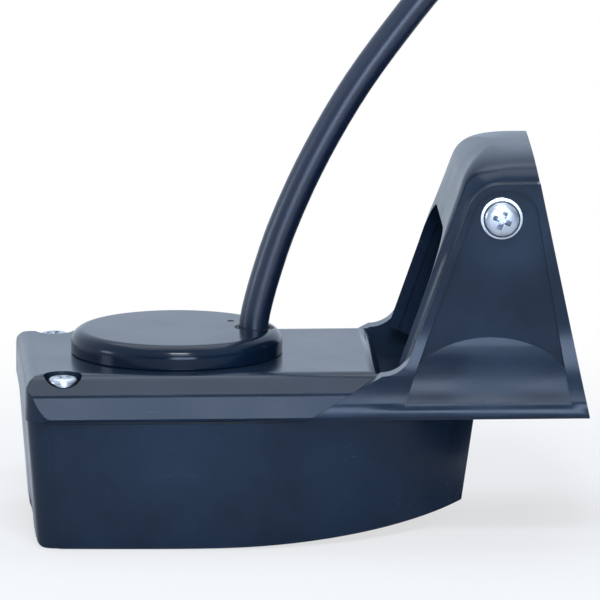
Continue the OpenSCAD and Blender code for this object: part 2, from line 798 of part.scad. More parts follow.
module transom_bracket() {
    color(bracket_black) difference() {
        union() {
            difference() {
                intersection() {
                    slab(-bracket_half, 2 * bracket_half) bracket_side(0);
                    run(-big / 2, big) bracket_section(0);
                    open_edges();
                    pivot_pin(-deck_w, deck_w, swing_r, 180);
                }
                bracket_hollow();
            }
            both_sides() pivot_pin(boss_in, bracket_half - bracket_wall / 2, boss_r);
        }
        pivot_pin(-deck_w, deck_w, pivot_bore_r);
        transom_holes();
    }
}

// Stack of a pivot, from outside in: head, washer, ear, bracket, nut
module pivot_screws() {
    seat = ear_web + washer_t;
    color(steel) both_sides() translate([pivot[0], seat, pivot[1]]) rotate([-90, 0, 0]) rotate(pivot_turn)
        pan_screw(pivot_d, seat - boss_in + nut_t + screw_past, pivot_head_d, pivot_head_h);
}

module pivot_washers() {
    color(steel) both_sides() difference() {
        pivot_pin(ear_web, ear_web + washer_t, washer_d / 2);
        pivot_pin(0, deck_w, pivot_bore_r);
    }
}

module pivot_nuts() {
    color(steel) both_sides() difference() {
        pivot_pin(boss_in - nut_t, boss_in, nut_r, 6);
        pivot_pin(0, deck_w, pivot_bore_r);
    }
}

function unit(v) = v / norm(v);
function heading(p, i) = unit(p[min(i + 1, len(p) - 1)] - p[max(i - 1, 0)]);
// Side vectors along a route, each turned as little as possible from the one before
function sides_of(p, v = [0, 1, 0], i = 0) = i == len(p) ? [] :
    let (t = heading(p, i), u = unit(v - t * (v * t))) concat([u], sides_of(p, u, i + 1));

// Round tube along a route
module tube(p, r, n = 12) {
    sides = sides_of(p);
    points = [for (i = [0:len(p) - 1]) let (u = sides[i], w = cross(heading(p, i), u))
        for (k = [0:n - 1]) p[i] + r * (cos(360 * k / n) * u + sin(360 * k / n) * w)];
    walls = [for (i = [0:len(p) - 2]) for (k = [0:n - 1])
        let (a = i * n + k, b = i * n + (k + 1) % n) for (f = [[a, a + n, b], [b, a + n, b + n]]) f];
    last = (len(p) - 1) * n;
    polyhedron(points, concat(walls, [[for (k = [0:n - 1]) k]], [[for (k = [n - 1:-1:0]) last + k]]));
}

module cable() {
    color(rubber_black) tube(cable_route, cable_d / 2);
}

module cable_coil() {
    color(rubber_black) translate([coil_at[0], coil_at[1], coil_base]) rotate_extrude()
        translate([coil_in, 0]) square([coil_out - coil_in, coil_top - coil_base]);
}

// Strap round the coil's section on its far side
module coil_tie() {
    gap = 2 * fit;
    color("#2b2f36") translate([coil_at[0] - tie_w / 2, coil_at[1], 0]) difference() {
        translate([0, coil_in - gap - 2 * tie_t, 0])
            cube([tie_w, coil_out - coil_in + 2 * gap + 3 * tie_t, coil_top + gap + tie_t]);
        translate([-1, coil_in - gap - tie_t, tie_t])
            cube([tie_w + 2, coil_out - coil_in + 2 * gap + tie_t, coil_top + gap - tie_t]);
    }
}

module cable_tail() {
    color(rubber_black) tube(tail_route, cable_d / 2);
}

// Pieces of the plug stand on the boot's end and lie along +Y
module plug_axis(from) {
    translate(plug_at + [0, from, 0]) rotate([-90, 0, 0]) children();
}

module plug_boot() {
    slim = cable_d / 2 + boot_wall;
    wide = plug_r - fit;
    pitch = boot_l / (ring_count + 2);
    color(rubber_black) plug_axis(0) difference() {
        cylinder(h = boot_l, r1 = slim, r2 = wide);
        translate([0, 0, -1]) cylinder(h = cable_in + 1 + fit, d = cable_d + 2 * fit);
        for (i = [1:ring_count]) translate([0, 0, i * pitch]) difference() {
            cylinder(h = ring_w, r = plug_d);
            cylinder(h = ring_w, r = slim + (wide - slim) * i * pitch / boot_l - boot_wall + ring_wall);
        }
    }
}

module plug_body() {
    color(bracket_black) plug_axis(boot_l) difference() {
        cylinder(h = plug_l, d = plug_d);
        translate([0, 0, plug_l - socket_deep]) cylinder(h = big, r = plug_r - socket_wall);
    }
}

module plug_collar() {
    color(bracket_black) plug_axis(boot_l + plug_l - collar_l + collar_past) difference() {
        cylinder(h = collar_l, r = collar_r);
        translate([0, 0, -1]) cylinder(h = big, r = plug_r + fit);
        for (i = [1:knurl_count]) rotate(360 * i / knurl_count) translate([collar_r, 0, -1])
            cylinder(h = big, r = knurl_r, $fn = 24);
    }
}

module plug_insert() {
    color("#d7d5cd") plug_axis(boot_l + plug_l - socket_deep)
        cylinder(h = insert_t, r = plug_r - socket_wall - fit);
}

module plug_pins() {
    color("#c9a24a") plug_axis(boot_l + plug_l - socket_deep + insert_t) for (i = [1:pin_count])
        rotate(360 * i / pin_count) translate([pin_ring, 0, 0]) cylinder(h = pin_l, d = pin_d);
}

lower_hull();
deck_gasket();
top_deck();
element_cap();
cap_seal();
cable_gland();
ceramic_disc();
cork_sleeve();
cork_backing();
potting_fill();
lead_wires();
deck_screws();
transom_bracket();
pivot_screws();
pivot_washers();
pivot_nuts();
cable();
cable_coil();
coil_tie();
cable_tail();
plug_boot();
plug_body();
plug_collar();
plug_insert();
plug_pins();
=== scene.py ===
"""Dresses the transom-mount sonar transducer: shells, fasteners, cable, plug and studio, in metres."""
import math

import bmesh
import bpy
from bpy.props import FloatProperty, FloatVectorProperty, IntProperty, PointerProperty
from mathutils import Matrix, Vector


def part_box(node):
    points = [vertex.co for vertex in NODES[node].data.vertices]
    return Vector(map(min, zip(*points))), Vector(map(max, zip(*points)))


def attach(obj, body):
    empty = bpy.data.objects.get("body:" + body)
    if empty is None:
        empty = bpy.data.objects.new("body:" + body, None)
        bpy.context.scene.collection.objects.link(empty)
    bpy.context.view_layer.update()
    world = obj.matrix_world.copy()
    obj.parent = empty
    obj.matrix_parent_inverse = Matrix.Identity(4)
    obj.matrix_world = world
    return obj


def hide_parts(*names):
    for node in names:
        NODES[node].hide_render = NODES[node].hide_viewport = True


bl_info = {
    "name": "Transom transducer",
    "version": (1, 0, 0),
    "blender": (4, 5, 0),
    "location": "View3D > Sidebar > Transducer",
    "description": "Builds a transom-mount sonar transducer with its kick-up bracket, cable and studio",
    "category": "Add Mesh",
}

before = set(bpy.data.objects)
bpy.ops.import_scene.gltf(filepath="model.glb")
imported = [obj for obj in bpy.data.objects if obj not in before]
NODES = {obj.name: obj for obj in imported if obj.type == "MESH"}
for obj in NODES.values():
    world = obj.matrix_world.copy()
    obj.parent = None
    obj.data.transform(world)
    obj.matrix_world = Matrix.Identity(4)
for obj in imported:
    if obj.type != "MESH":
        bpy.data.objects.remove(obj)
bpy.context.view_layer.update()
BODY, SWING = "transducer", "bracket"
MM = 0.001
BOTH_SIDES = (-1, 1)
EDGE_ANGLE = 32
FACE_OUT = math.radians(-90)
SQUARE = ((-1, -1), (1, -1), (1, 1), (-1, 1))
BLOCK_FACES = ((3, 2, 1, 0), (4, 5, 6, 7), (0, 1, 5, 4), (1, 2, 6, 5), (2, 3, 7, 6), (3, 0, 4, 7))
GROUPS, MATERIALS, TREES = {}, {}, {}


def middle(node):
    low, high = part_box(node)
    return (low + high) / 2


def span(node):
    low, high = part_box(node)
    return high - low


# Sizes and colours that a user would change


def colour_setting(name, piece, default):
    return FloatVectorProperty(name=name, description=f"Colour of the {piece}", subtype="COLOR", size=3,
                               min=0, max=1, default=default)


def length_setting(name, description, default):
    return FloatProperty(name=name, description=description, unit="LENGTH", default=default)


def angle_setting(name, description, degrees):
    return FloatProperty(name=name, description=description, subtype="ANGLE", default=math.radians(degrees))


def power_setting(name, lamp, default):
    return FloatProperty(name=name, description=f"Power of the {lamp}", unit="POWER", default=default)


class TransducerFinish(bpy.types.PropertyGroup):
    housing: colour_setting("Housing", "hull and deck", (0.0090, 0.0188, 0.0355))
    cap: colour_setting("Cap", "element cap", (0.0030, 0.0095, 0.0220))
    bracket: colour_setting("Bracket", "kick-up bracket", (0.0095, 0.0205, 0.0420))
    jacket: colour_setting("Jacket", "cable's jacket", (0.0055, 0.0120, 0.0300))
    edge: length_setting("Edge", "Width of the small round on moulded edges", 0.35 * MM)


class TransducerCable(bpy.types.PropertyGroup):
    diameter: length_setting("Diameter", "Diameter of the cable", 7.6 * MM)
    sides: IntProperty(name="Sides", description="Faces round the cable", default=16, min=8)
    coil_x: length_setting("Coil X", "Place of the coil's middle along X", middle("cable_coil").x)
    coil_y: length_setting("Coil Y", "Place of the coil's middle along Y", middle("cable_coil").y)
    coil_r: length_setting("Coil radius", "Radius of the innermost turn", 31.2 * MM)
    tie_t: length_setting("Tie", "Thickness of the strap round the coil", 1.2 * MM)


class TransducerStage(bpy.types.PropertyGroup):
    azimuth: angle_setting("Azimuth", "Direction the camera looks from", -2.65)
    elevation: angle_setting("Elevation", "Height of the camera's view", 10.8)
    distance: length_setting("Distance", "Distance of the camera", 6.0)
    lens: FloatProperty(name="Lens", description="Focal length in millimetres", unit="CAMERA", default=1396.0)
    ambient: FloatProperty(name="Ambient", description="Strength of the light from all round", default=0.30)
    key: power_setting("Key", "overhead softbox", 9.0)
    strip: power_setting("Strip", "wide front softbox", 1.7)
    front: power_setting("Front", "small front softbox", 6.0)
    side: power_setting("Side", "softbox on the left", 1.4)
    low: power_setting("Low", "low softbox in front", 5.4)


# Mesh helpers


def add_object(name, data):
    obj = bpy.data.objects.new(name, data)
    bpy.context.scene.collection.objects.link(obj)
    return obj


def mesh_object(name, vertices, faces=(), edges=()):
    mesh = bpy.data.meshes.new(name)
    mesh.from_pydata([tuple(v) for v in vertices], edges, faces)
    mesh.validate()
    return add_object(name, mesh)


def solid_object(name, vertices, faces):
    """A closed form with its doubles merged and its faces pointing outwards."""
    obj = mesh_object(name, vertices, faces)
    form = bmesh.new()
    form.from_mesh(obj.data)
    bmesh.ops.remove_doubles(form, verts=form.verts, dist=1e-7)
    bmesh.ops.recalc_face_normals(form, faces=form.faces)
    form.to_mesh(obj.data)
    form.free()
    return obj


def make_plain(obj):
    """Turns what the modifiers make into the object's own mesh."""
    graph = bpy.context.evaluated_depsgraph_get()
    made = obj.evaluated_get(graph)
    mesh = bpy.data.meshes.new_from_object(made, preserve_all_data_layers=True, depsgraph=graph)
    obj.modifiers.clear()
    old, obj.data = obj.data, mesh
    if old.users == 0:
        bpy.data.meshes.remove(old)


def shade(obj, angle):
    """Smooth shading, with edges sharper than the angle in degrees kept sharp."""
    obj.data.polygons.foreach_set("use_smooth", [True] * len(obj.data.polygons))
    obj.data.set_sharp_from_angle(angle=math.radians(angle))


def soften(obj, width, angle=EDGE_ANGLE):
    """Rounds the sharp edges of a shell a little, with the flat faces kept flat in shading."""
    bevel = obj.modifiers.new("Edge", "BEVEL")
    bevel.width, bevel.segments = width, 2
    bevel.limit_method, bevel.angle_limit = "ANGLE", math.radians(angle)
    bevel.use_clamp_overlap, bevel.miter_outer = True, "MITER_ARC"
    make_plain(obj)
    shade(obj, 50)
    weighted = obj.modifiers.new("Flats", "WEIGHTED_NORMAL")
    weighted.keep_sharp, weighted.weight = True, 60
    make_plain(obj)


def cut_with(obj, tool, operation="DIFFERENCE", use_self=False):
    """Cuts a form with another one, which is then removed."""
    cut = obj.modifiers.new("Cut", "BOOLEAN")
    cut.operation, cut.solver, cut.object, cut.use_self = operation, "EXACT", tool, use_self
    make_plain(obj)
    bpy.data.objects.remove(tool)


def merged_copy(node, name):
    """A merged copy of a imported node, ready for its edges to be rounded."""
    obj = add_object(name, NODES[node].data.copy())
    form = bmesh.new()
    form.from_mesh(obj.data)
    bmesh.ops.remove_doubles(form, verts=form.verts, dist=2e-6)
    bmesh.ops.dissolve_degenerate(form, dist=1e-6, edges=form.edges)
    bmesh.ops.dissolve_limit(form, angle_limit=math.radians(0.4), verts=form.verts, edges=form.edges,
                             use_dissolve_boundaries=False)
    form.to_mesh(obj.data)
    form.free()
    if obj.data.has_custom_normals:
        with bpy.context.temp_override(object=obj, active_object=obj):
            bpy.ops.mesh.customdata_custom_splitnormals_clear()
    for layer in list(obj.data.uv_layers):
        obj.data.uv_layers.remove(layer)
    return obj


def paint(obj, look):
    obj.data.materials.clear()
    obj.data.materials.append(MATERIALS[look])


def hand_over(obj, body, slot, *nodes):
    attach(obj, body)
    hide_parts(*nodes)


def finish_form(obj, width, look, body, slot, node, angle=EDGE_ANGLE):
    """Rounds a form's edges, paints it and puts it in the node's place."""
    soften(obj, width, angle)
    paint(obj, look)
    hand_over(obj, body, slot, node)


def moulded_shell(node, name, width, look, slot):
    """The node's own shape with its edges rounded."""
    finish_form(merged_copy(node, name), width, look, BODY, slot, node)


def smooth_step(t):
    return t * t * (3 - 2 * t)


def arc(across, up, r, degrees):
    """Points on a circle about (across, up), one for each angle."""
    return [(across + r * math.cos(math.radians(a)), up + r * math.sin(math.radians(a))) for a in degrees]


def circle(sides):
    turns = [2 * math.pi * k / sides for k in range(sides)]
    return [(math.cos(a), math.sin(a)) for a in turns]


def lathe(name, outline, sides):
    """A closed turned solid about Z from (radius, height) points, first and last on the axis."""
    vertices, rings, faces = [], [], []
    for r, z in outline:
        ring = [(r * x, r * y, z) for x, y in circle(sides)] if r else [(0, 0, z)]
        rings.append(range(len(vertices), len(vertices) + len(ring)))
        vertices += ring
    for a, b in zip(rings, rings[1:]):
        for k in range(sides):
            n = (k + 1) % sides
            corners = ((a, k), (b, k), (b, n), (a, n))
            faces.append(tuple(dict.fromkeys(ring[i % len(ring)] for ring, i in corners)))
    return solid_object(name, vertices, faces)


def ring_outline(inner, outer, low, high, round_r):
    """Closed section of a ring with rounded corners, as (radius, height) points."""
    near, far, bottom, top = inner + round_r, outer - round_r, low + round_r, high - round_r
    corners = ((far, bottom, -90), (far, top, 0), (near, top, 90), (near, bottom, 180))
    return [p for r, z, start in corners for p in arc(r, z, round_r, range(start, start + 91, 30))]


def turned_ring(name, section, sides):
    """A ring about Z with a closed section of (radius, height) points."""
    vertices = [(r * x, r * y, z) for x, y in circle(sides) for r, z in section]
    count, faces = len(section), []
    for k in range(sides):
        n = (k + 1) % sides
        for i in range(count):
            j = (i + 1) % count
            faces.append((k * count + i, n * count + i, n * count + j, k * count + j))
    return solid_object(name, vertices, faces)


def smooth_route(points, step):
    """Points on a smooth curve through the given ones, about step apart."""
    p = [Vector(q) for q in points]
    p = [p[0] * 2 - p[1]] + p + [p[-1] * 2 - p[-2]]
    made = []
    for a, b, c, d in zip(p, p[1:], p[2:], p[3:]):
        count = max(2, round((c - b).length / step))
        knots = [0.0]
        for u, v in ((a, b), (b, c), (c, d)):
            knots.append(knots[-1] + max((v - u).length, 1e-9) ** 0.5)
        for i in range(count):
            t = knots[1] + (knots[2] - knots[1]) * i / count
            q1 = a.lerp(b, t / knots[1])
            q2 = b.lerp(c, (t - knots[1]) / (knots[2] - knots[1]))
            q3 = c.lerp(d, (t - knots[2]) / (knots[3] - knots[2]))
            r1 = q1.lerp(q2, t / knots[2])
            r2 = q2.lerp(q3, (t - knots[1]) / (knots[3] - knots[1]))
            made.append(r1.lerp(r2, (t - knots[1]) / (knots[2] - knots[1])))
    return made + [p[-2]]


# Nodes, for geometry trees, shader groups and materials alike


def feed(tree, node, inputs):
    """Sets each input, by name or number, to a plain value, or links it to the given socket."""
    for key, value in inputs.items():
        if isinstance(value, bpy.types.NodeSocket):
            tree.links.new(value, node.inputs[key])
        else:
            node.inputs[key].default_value = value


def add_node(tree, kind, inputs, **traits):
    node = tree.nodes.new(kind)
    for name, value in traits.items():
        setattr(node, name, value)
    feed(tree, node, inputs)
    return node


def math_node(tree, kind, *values):
    return add_node(tree, "ShaderNodeMath", dict(enumerate(values)), operation=kind).outputs[0]


# Geometry node trees


def new_tree(name, **sizes):
    """An empty tree with its geometry, the named inputs and the material, and what its inputs give."""
    tree = bpy.data.node_groups.new(name, "GeometryNodeTree")
    for label, kind in {"Geometry": "Geometry", **sizes, "Material": "Material"}.items():
        tree.interface.new_socket(label, in_out="INPUT", socket_type="NodeSocket" + kind)
    tree.interface.new_socket("Geometry", in_out="OUTPUT", socket_type="NodeSocketGeometry")
    return tree, tree.nodes.new("NodeGroupInput").outputs


def end_tree(tree, given, geometry):
    """Realize Instances and Set Material at the tree's end."""
    real = add_node(tree, "GeometryNodeRealizeInstances", {0: geometry})
    coat = add_node(tree, "GeometryNodeSetMaterial", {
        "Geometry": real.outputs[0], "Material": given["Material"]})
    add_node(tree, "NodeGroupOutput", {0: coat.outputs[0]})
    return tree


def run_tree(obj, name, look, **values):
    """Runs a tree on the object, its inputs set by identifier, and keeps the result as the object's mesh."""
    tree = TREES[name]
    sockets = {s.name: s.identifier for s in tree.interface.items_tree if s.in_out == "INPUT"}
    modifier = obj.modifiers.new(tree.name, "NODES")
    modifier.node_group = tree
    for label, value in {**values, "Material": MATERIALS[look]}.items():
        modifier[sockets[label]] = value
    make_plain(obj)


def captured(tree, geometry, label, value):
    """What a node gives that keeps a value on the geometry for later nodes."""
    node = tree.nodes.new("GeometryNodeCaptureAttribute")
    node.capture_items.new("FLOAT", label)
    feed(tree, node, {"Geometry": geometry, label: value})
    return node.outputs


def copies_on(tree, points, form, **placing):
    part = add_node(tree, "GeometryNodeObjectInfo", {"Object": form})
    return add_node(tree, "GeometryNodeInstanceOnPoints", {
        "Points": points, "Instance": part.outputs["Geometry"], **placing}).outputs[0]


def joined(tree, *geometries):
    join = tree.nodes.new("GeometryNodeJoinGeometry")
    for geometry in geometries:
        feed(tree, join, {0: geometry})
    return join.outputs[0]


def jacket_tree():
    """A round jacket along a route, with the place round and along it kept for the material."""
    tree, given = new_tree("Cable jacket", Diameter="Float", Sides="Int")
    place = tree.nodes.new("GeometryNodeSplineParameter").outputs
    route = add_node(tree, "GeometryNodeMeshToCurve", {"Mesh": given["Geometry"]})
    along = captured(tree, route.outputs[0], "Length", place["Length"])
    radius = math_node(tree, "MULTIPLY", given["Diameter"], 0.5)
    ring = add_node(tree, "GeometryNodeCurvePrimitiveCircle", {
        "Radius": radius, "Resolution": given["Sides"]})
    around = captured(tree, ring.outputs[0], "Turn", place["Factor"])
    sweep = add_node(tree, "GeometryNodeCurveToMesh", {
        "Curve": along["Geometry"], "Profile Curve": around["Geometry"], "Fill Caps": True})
    angle = math_node(tree, "MULTIPLY", around["Turn"], 2 * math.pi)
    spot = add_node(tree, "ShaderNodeCombineXYZ", {
        0: math_node(tree, "COSINE", angle), 1: math_node(tree, "SINE", angle), 2: along["Length"]})
    store = add_node(
        tree, "GeometryNodeStoreNamedAttribute",
        {"Geometry": sweep.outputs[0], "Name": "jacket", "Value": spot.outputs[0]},
        data_type="FLOAT_VECTOR", domain="POINT")
    smooth = add_node(tree, "GeometryNodeSetShadeSmooth", {"Geometry": store.outputs[0]})
    return end_tree(tree, given, smooth.outputs[0])


def seats_tree():
    """Copies of one fastener on points, each turned as its point says."""
    tree, given = new_tree("Fasteners on seats", Fastener="Object", Size="Float")
    turn = add_node(tree, "GeometryNodeInputNamedAttribute", {"Name": "turn"}, data_type="FLOAT_VECTOR")
    spin = add_node(tree, "FunctionNodeEulerToRotation", {0: turn.outputs["Attribute"]})
    copies = copies_on(
        tree, given["Geometry"], given["Fastener"], Rotation=spin.outputs[0], Scale=given["Size"])
    return end_tree(tree, given, copies)


def circle_tree():
    """Copies of one form on a ring about Z, each turned to face out."""
    tree, given = new_tree("Forms round a ring", Form="Object", Count="Int", Radius="Float")
    ring = add_node(tree, "GeometryNodeMeshCircle", {"Vertices": given["Count"], "Radius": given["Radius"]})
    index = tree.nodes.new("GeometryNodeInputIndex").outputs[0]
    step = math_node(tree, "DIVIDE", 2 * math.pi, given["Count"])
    turn = add_node(tree, "ShaderNodeCombineXYZ", {2: math_node(tree, "MULTIPLY", index, step)})
    spin = add_node(tree, "FunctionNodeEulerToRotation", {0: turn.outputs[0]})
    copies = copies_on(tree, ring.outputs[0], given["Form"], Rotation=spin.outputs[0])
    return end_tree(tree, given, joined(tree, copies, given["Geometry"]))


def ribs_tree():
    """Rings in a row along Z that grow from the first to the last."""
    tree, given = new_tree("Rings in a row", Ring="Object", Count="Int", Pitch="Float", Growth="Float")
    step = add_node(tree, "ShaderNodeCombineXYZ", {2: given["Pitch"]})
    row = add_node(tree, "GeometryNodeMeshLine", {"Count": given["Count"], "Offset": step.outputs[0]})
    index = tree.nodes.new("GeometryNodeInputIndex").outputs[0]
    grown = math_node(tree, "MULTIPLY_ADD", index, given["Growth"], 1.0)
    size = add_node(tree, "ShaderNodeCombineXYZ", {0: grown, 1: grown, 2: 1.0})
    copies = copies_on(tree, row.outputs[0], given["Ring"], Scale=size.outputs[0])
    return end_tree(tree, given, joined(tree, copies, given["Geometry"]))


def make_trees():
    TREES.update(jacket=jacket_tree(), seats=seats_tree(), circle=circle_tree(), ribs=ribs_tree())


# Shader groups


def rgba(colour):
    return (*colour, 1)


def noise(tree, vector, scale, detail):
    return add_node(tree, "ShaderNodeTexNoise", {
        "Vector": vector, "Scale": scale, "Detail": detail}).outputs["Fac"]


def spread(tree, value, source, target):
    """Maps one range of a value smoothly onto another."""
    inputs = dict(enumerate((value, *source, *target)))
    return add_node(tree, "ShaderNodeMapRange", inputs, interpolation_type="SMOOTHSTEP").outputs[0]


def blend_colour(tree, factor, first, second):
    first, second = (rgba(c) if isinstance(c, tuple) else c for c in (first, second))
    return add_node(tree, "ShaderNodeMix", {0: factor, 6: first, 7: second}, data_type="RGBA").outputs[2]


def new_group(name, inputs):
    """A shader group that takes coordinates and the named inputs, each with its usual value."""
    group = bpy.data.node_groups.new(name, "ShaderNodeTree")
    group.interface.new_socket("Coordinates", in_out="INPUT", socket_type="NodeSocketVector")
    for label, value in inputs.items():
        kind = "NodeSocketColor" if isinstance(value, tuple) else "NodeSocketFloat"
        group.interface.new_socket(label, in_out="INPUT", socket_type=kind).default_value = value
    return group, group.nodes.new("NodeGroupInput").outputs


def end_group(group, outputs):
    for label in outputs:
        kind = "NodeSocketColor" if label == "Colour" else "NodeSocketFloat"
        group.interface.new_socket(label, in_out="OUTPUT", socket_type=kind)
    add_node(group, "NodeGroupOutput", outputs)
    return group


def moulded_group():
    """Moulded plastic: soft cloudiness in colour and gloss, and a fine grain."""
    group, given = new_group("Moulded skin", {
        "Colour": (0.01, 0.02, 0.04, 1), "Gloss": 0.3, "Cloudiness": 0.2, "Grain size": 900.0})
    cloud = noise(group, given["Coordinates"], scale=38.0, detail=4.0)
    fine = noise(group, given["Coordinates"], scale=given["Grain size"], detail=2.0)
    cloud_gloss, fine_gloss = 0.22, 0.08
    shift = math_node(group, "MULTIPLY", math_node(group, "SUBTRACT", cloud, 0.5), given["Cloudiness"])
    lift = math_node(group, "ADD", shift, 1.0)
    tone = add_node(group, "ShaderNodeVectorMath", {0: given["Colour"], "Scale": lift}, operation="SCALE")
    rough = math_node(group, "MULTIPLY_ADD", shift, cloud_gloss, given["Gloss"])
    rough = math_node(group, "MULTIPLY_ADD", math_node(group, "SUBTRACT", fine, 0.5), fine_gloss, rough)
    return end_group(group, {"Colour": tone.outputs[0], "Roughness": rough, "Height": fine})


def scuff_group():
    """Light handling marks: thin scratches in patches and faint dust, as a mask."""
    group, given = new_group("Handling marks", {"Amount": 0.5})
    where = given["Coordinates"]
    turned = add_node(group, "ShaderNodeMapping", {
        "Vector": where, "Rotation": (0.3, 0.5, 0.7), "Scale": (1.0, 14.0, 14.0)})
    scratch = spread(group, noise(group, turned.outputs[0], scale=60.0, detail=2.0), (0.66, 0.74), (0.0, 0.6))
    patch = spread(group, noise(group, where, scale=45.0, detail=2.0), (0.5, 0.68), (0.0, 1.0))
    dust = spread(group, noise(group, where, scale=1400.0, detail=1.0), (0.7, 0.8), (0.0, 0.35))
    both = math_node(group, "MAXIMUM", math_node(group, "MULTIPLY", scratch, patch), dust)
    return end_group(group, {"Mask": math_node(group, "MULTIPLY", both, given["Amount"])})


def turned_metal_group():
    """Bright metal: fine drawn lines and a slight tarnish."""
    group, given = new_group("Bright metal", {
        "Colour": (0.6, 0.6, 0.62, 1), "Tarnish": (0.3, 0.3, 0.32, 1), "Gloss": 0.22})
    where = given["Coordinates"]
    lines = add_node(group, "ShaderNodeMapping", {"Vector": where, "Scale": (1.0, 1.0, 12.0)})
    drawn = noise(group, lines.outputs[0], scale=900.0, detail=3.0)
    stain = spread(group, noise(group, where, scale=420.0, detail=4.0), (0.45, 0.75), (0.0, 0.55))
    drawn_gloss, stain_gloss = 0.12, 0.2
    rough = math_node(group, "MULTIPLY_ADD", drawn, drawn_gloss, given["Gloss"])
    return end_group(group, {
        "Colour": blend_colour(group, stain, given["Colour"], given["Tarnish"]),
        "Roughness": math_node(group, "MULTIPLY_ADD", stain, stain_gloss, rough),
        "Height": drawn})


# Materials


def place_group(tree, name, inputs):
    return add_node(tree, "ShaderNodeGroup", inputs, node_tree=GROUPS[name]).outputs


def new_material(name, **values):
    """A material with its Principled shader's plain values set, with its nodes and its coordinates."""
    material = bpy.data.materials.new(name)
    material.use_nodes = True
    tree = material.node_tree
    feed(tree, tree.nodes["Principled BSDF"], {label.replace("_", " "): v for label, v in values.items()})
    return material, tree, tree.nodes.new("ShaderNodeTexCoord").outputs["Object"]


def finished(material, colour, rough, height, depth, strength):
    """The material with its colour, roughness and relief linked."""
    tree = material.node_tree
    relief = add_node(tree, "ShaderNodeBump", {"Height": height, "Distance": depth, "Strength": strength})
    feed(tree, tree.nodes["Principled BSDF"], {
        "Base Color": colour, "Roughness": rough, "Normal": relief.outputs[0]})
    return material


def worn_skin(tree, where, colour, gloss, cloud, grain, marks, wear_gloss):
    """What the moulded skin gives, the mask of its handling marks, and its roughness with them."""
    skin = place_group(tree, "Moulded skin", {
        "Coordinates": where, "Colour": rgba(colour), "Gloss": gloss, "Cloudiness": cloud,
        "Grain size": grain})
    wear = place_group(tree, "Handling marks", {"Coordinates": where, "Amount": marks})["Mask"]
    return skin, wear, math_node(tree, "MULTIPLY_ADD", wear, wear_gloss, skin["Roughness"])


def plastic(name, colour, gloss, marks=0.7, grain=1500.0, depth=0.01 * MM, cloud=1.5, level=0.2):
    """A cloudy, grained skin with handling marks that are paler and rougher than it."""
    material, tree, where = new_material(name, Specular_IOR_Level=level)
    skin, wear, rough = worn_skin(tree, where, colour, gloss, cloud, grain, marks, wear_gloss=0.18)
    pale = tuple(min(1, 2.2 * c + 0.012) for c in colour)
    tone = blend_colour(tree, wear, skin["Colour"], pale)
    return finished(material, tone, rough, skin["Height"], depth, strength=0.35)


def metal(name, colour, tarnish, gloss):
    material, tree, where = new_material(name, Metallic=1.0)
    skin = place_group(tree, "Bright metal", {
        "Coordinates": where, "Colour": rgba(colour), "Tarnish": rgba(tarnish), "Gloss": gloss})
    return finished(material, skin["Colour"], skin["Roughness"], skin["Height"], 0.01 * MM, strength=0.3)


def jacket_material(colour):
    """Extruded cable jacket: faint lines along it and a satin gloss."""
    material, tree, _ = new_material("Cable jacket", Specular_IOR_Level=0.6)
    place = add_node(tree, "ShaderNodeAttribute", {}, attribute_name="jacket")
    lines = add_node(tree, "ShaderNodeMapping", {
        "Vector": place.outputs["Vector"], "Scale": (0.03, 0.03, 0.05)})
    skin, _, rough = worn_skin(tree, lines.outputs[0], colour, gloss=0.33, cloud=0.2, grain=500.0, marks=0.1,
                               wear_gloss=0.15)
    return finished(material, skin["Colour"], rough, skin["Height"], 0.01 * MM, strength=0.1)


def cork_material():
    """Pressed cork: small grains in two browns, each darker in its middle."""
    material, tree, where = new_material("Pressed cork", Specular_IOR_Level=0.25)
    light, brown, dark = (0.62, 0.43, 0.24), (0.42, 0.25, 0.12), (0.2, 0.1, 0.04)
    grains = add_node(tree, "ShaderNodeTexVoronoi", {"Vector": where, "Scale": 900.0}).outputs["Distance"]
    tone = blend_colour(tree, noise(tree, where, scale=500.0, detail=3.0), brown, light)
    tone = blend_colour(tree, spread(tree, grains, (0.0, 0.5), (0.7, 0.0)), tone, dark)
    rough = spread(tree, grains, (0.0, 0.6), (0.95, 0.75))
    return finished(material, tone, rough, grains, 0.1 * MM, strength=0.6)


def strap_material():
    """Woven strap: a fine plain weave across and along it."""
    material, tree, where = new_material("Woven strap", Specular_IOR_Level=0.3)
    threads = [add_node(tree, "ShaderNodeTexWave", {"Vector": where, "Scale": 420.0}, bands_direction=axis)
               for axis in ("X", "Z")]
    weave = math_node(tree, "MULTIPLY", *(thread.outputs["Fac"] for thread in threads))
    tone = blend_colour(tree, weave, (0.008, 0.009, 0.012), (0.04, 0.043, 0.05))
    rough = spread(tree, weave, (0.0, 1.0), (0.95, 0.7))
    return finished(material, tone, rough, weave, 0.25 * MM, strength=0.7)


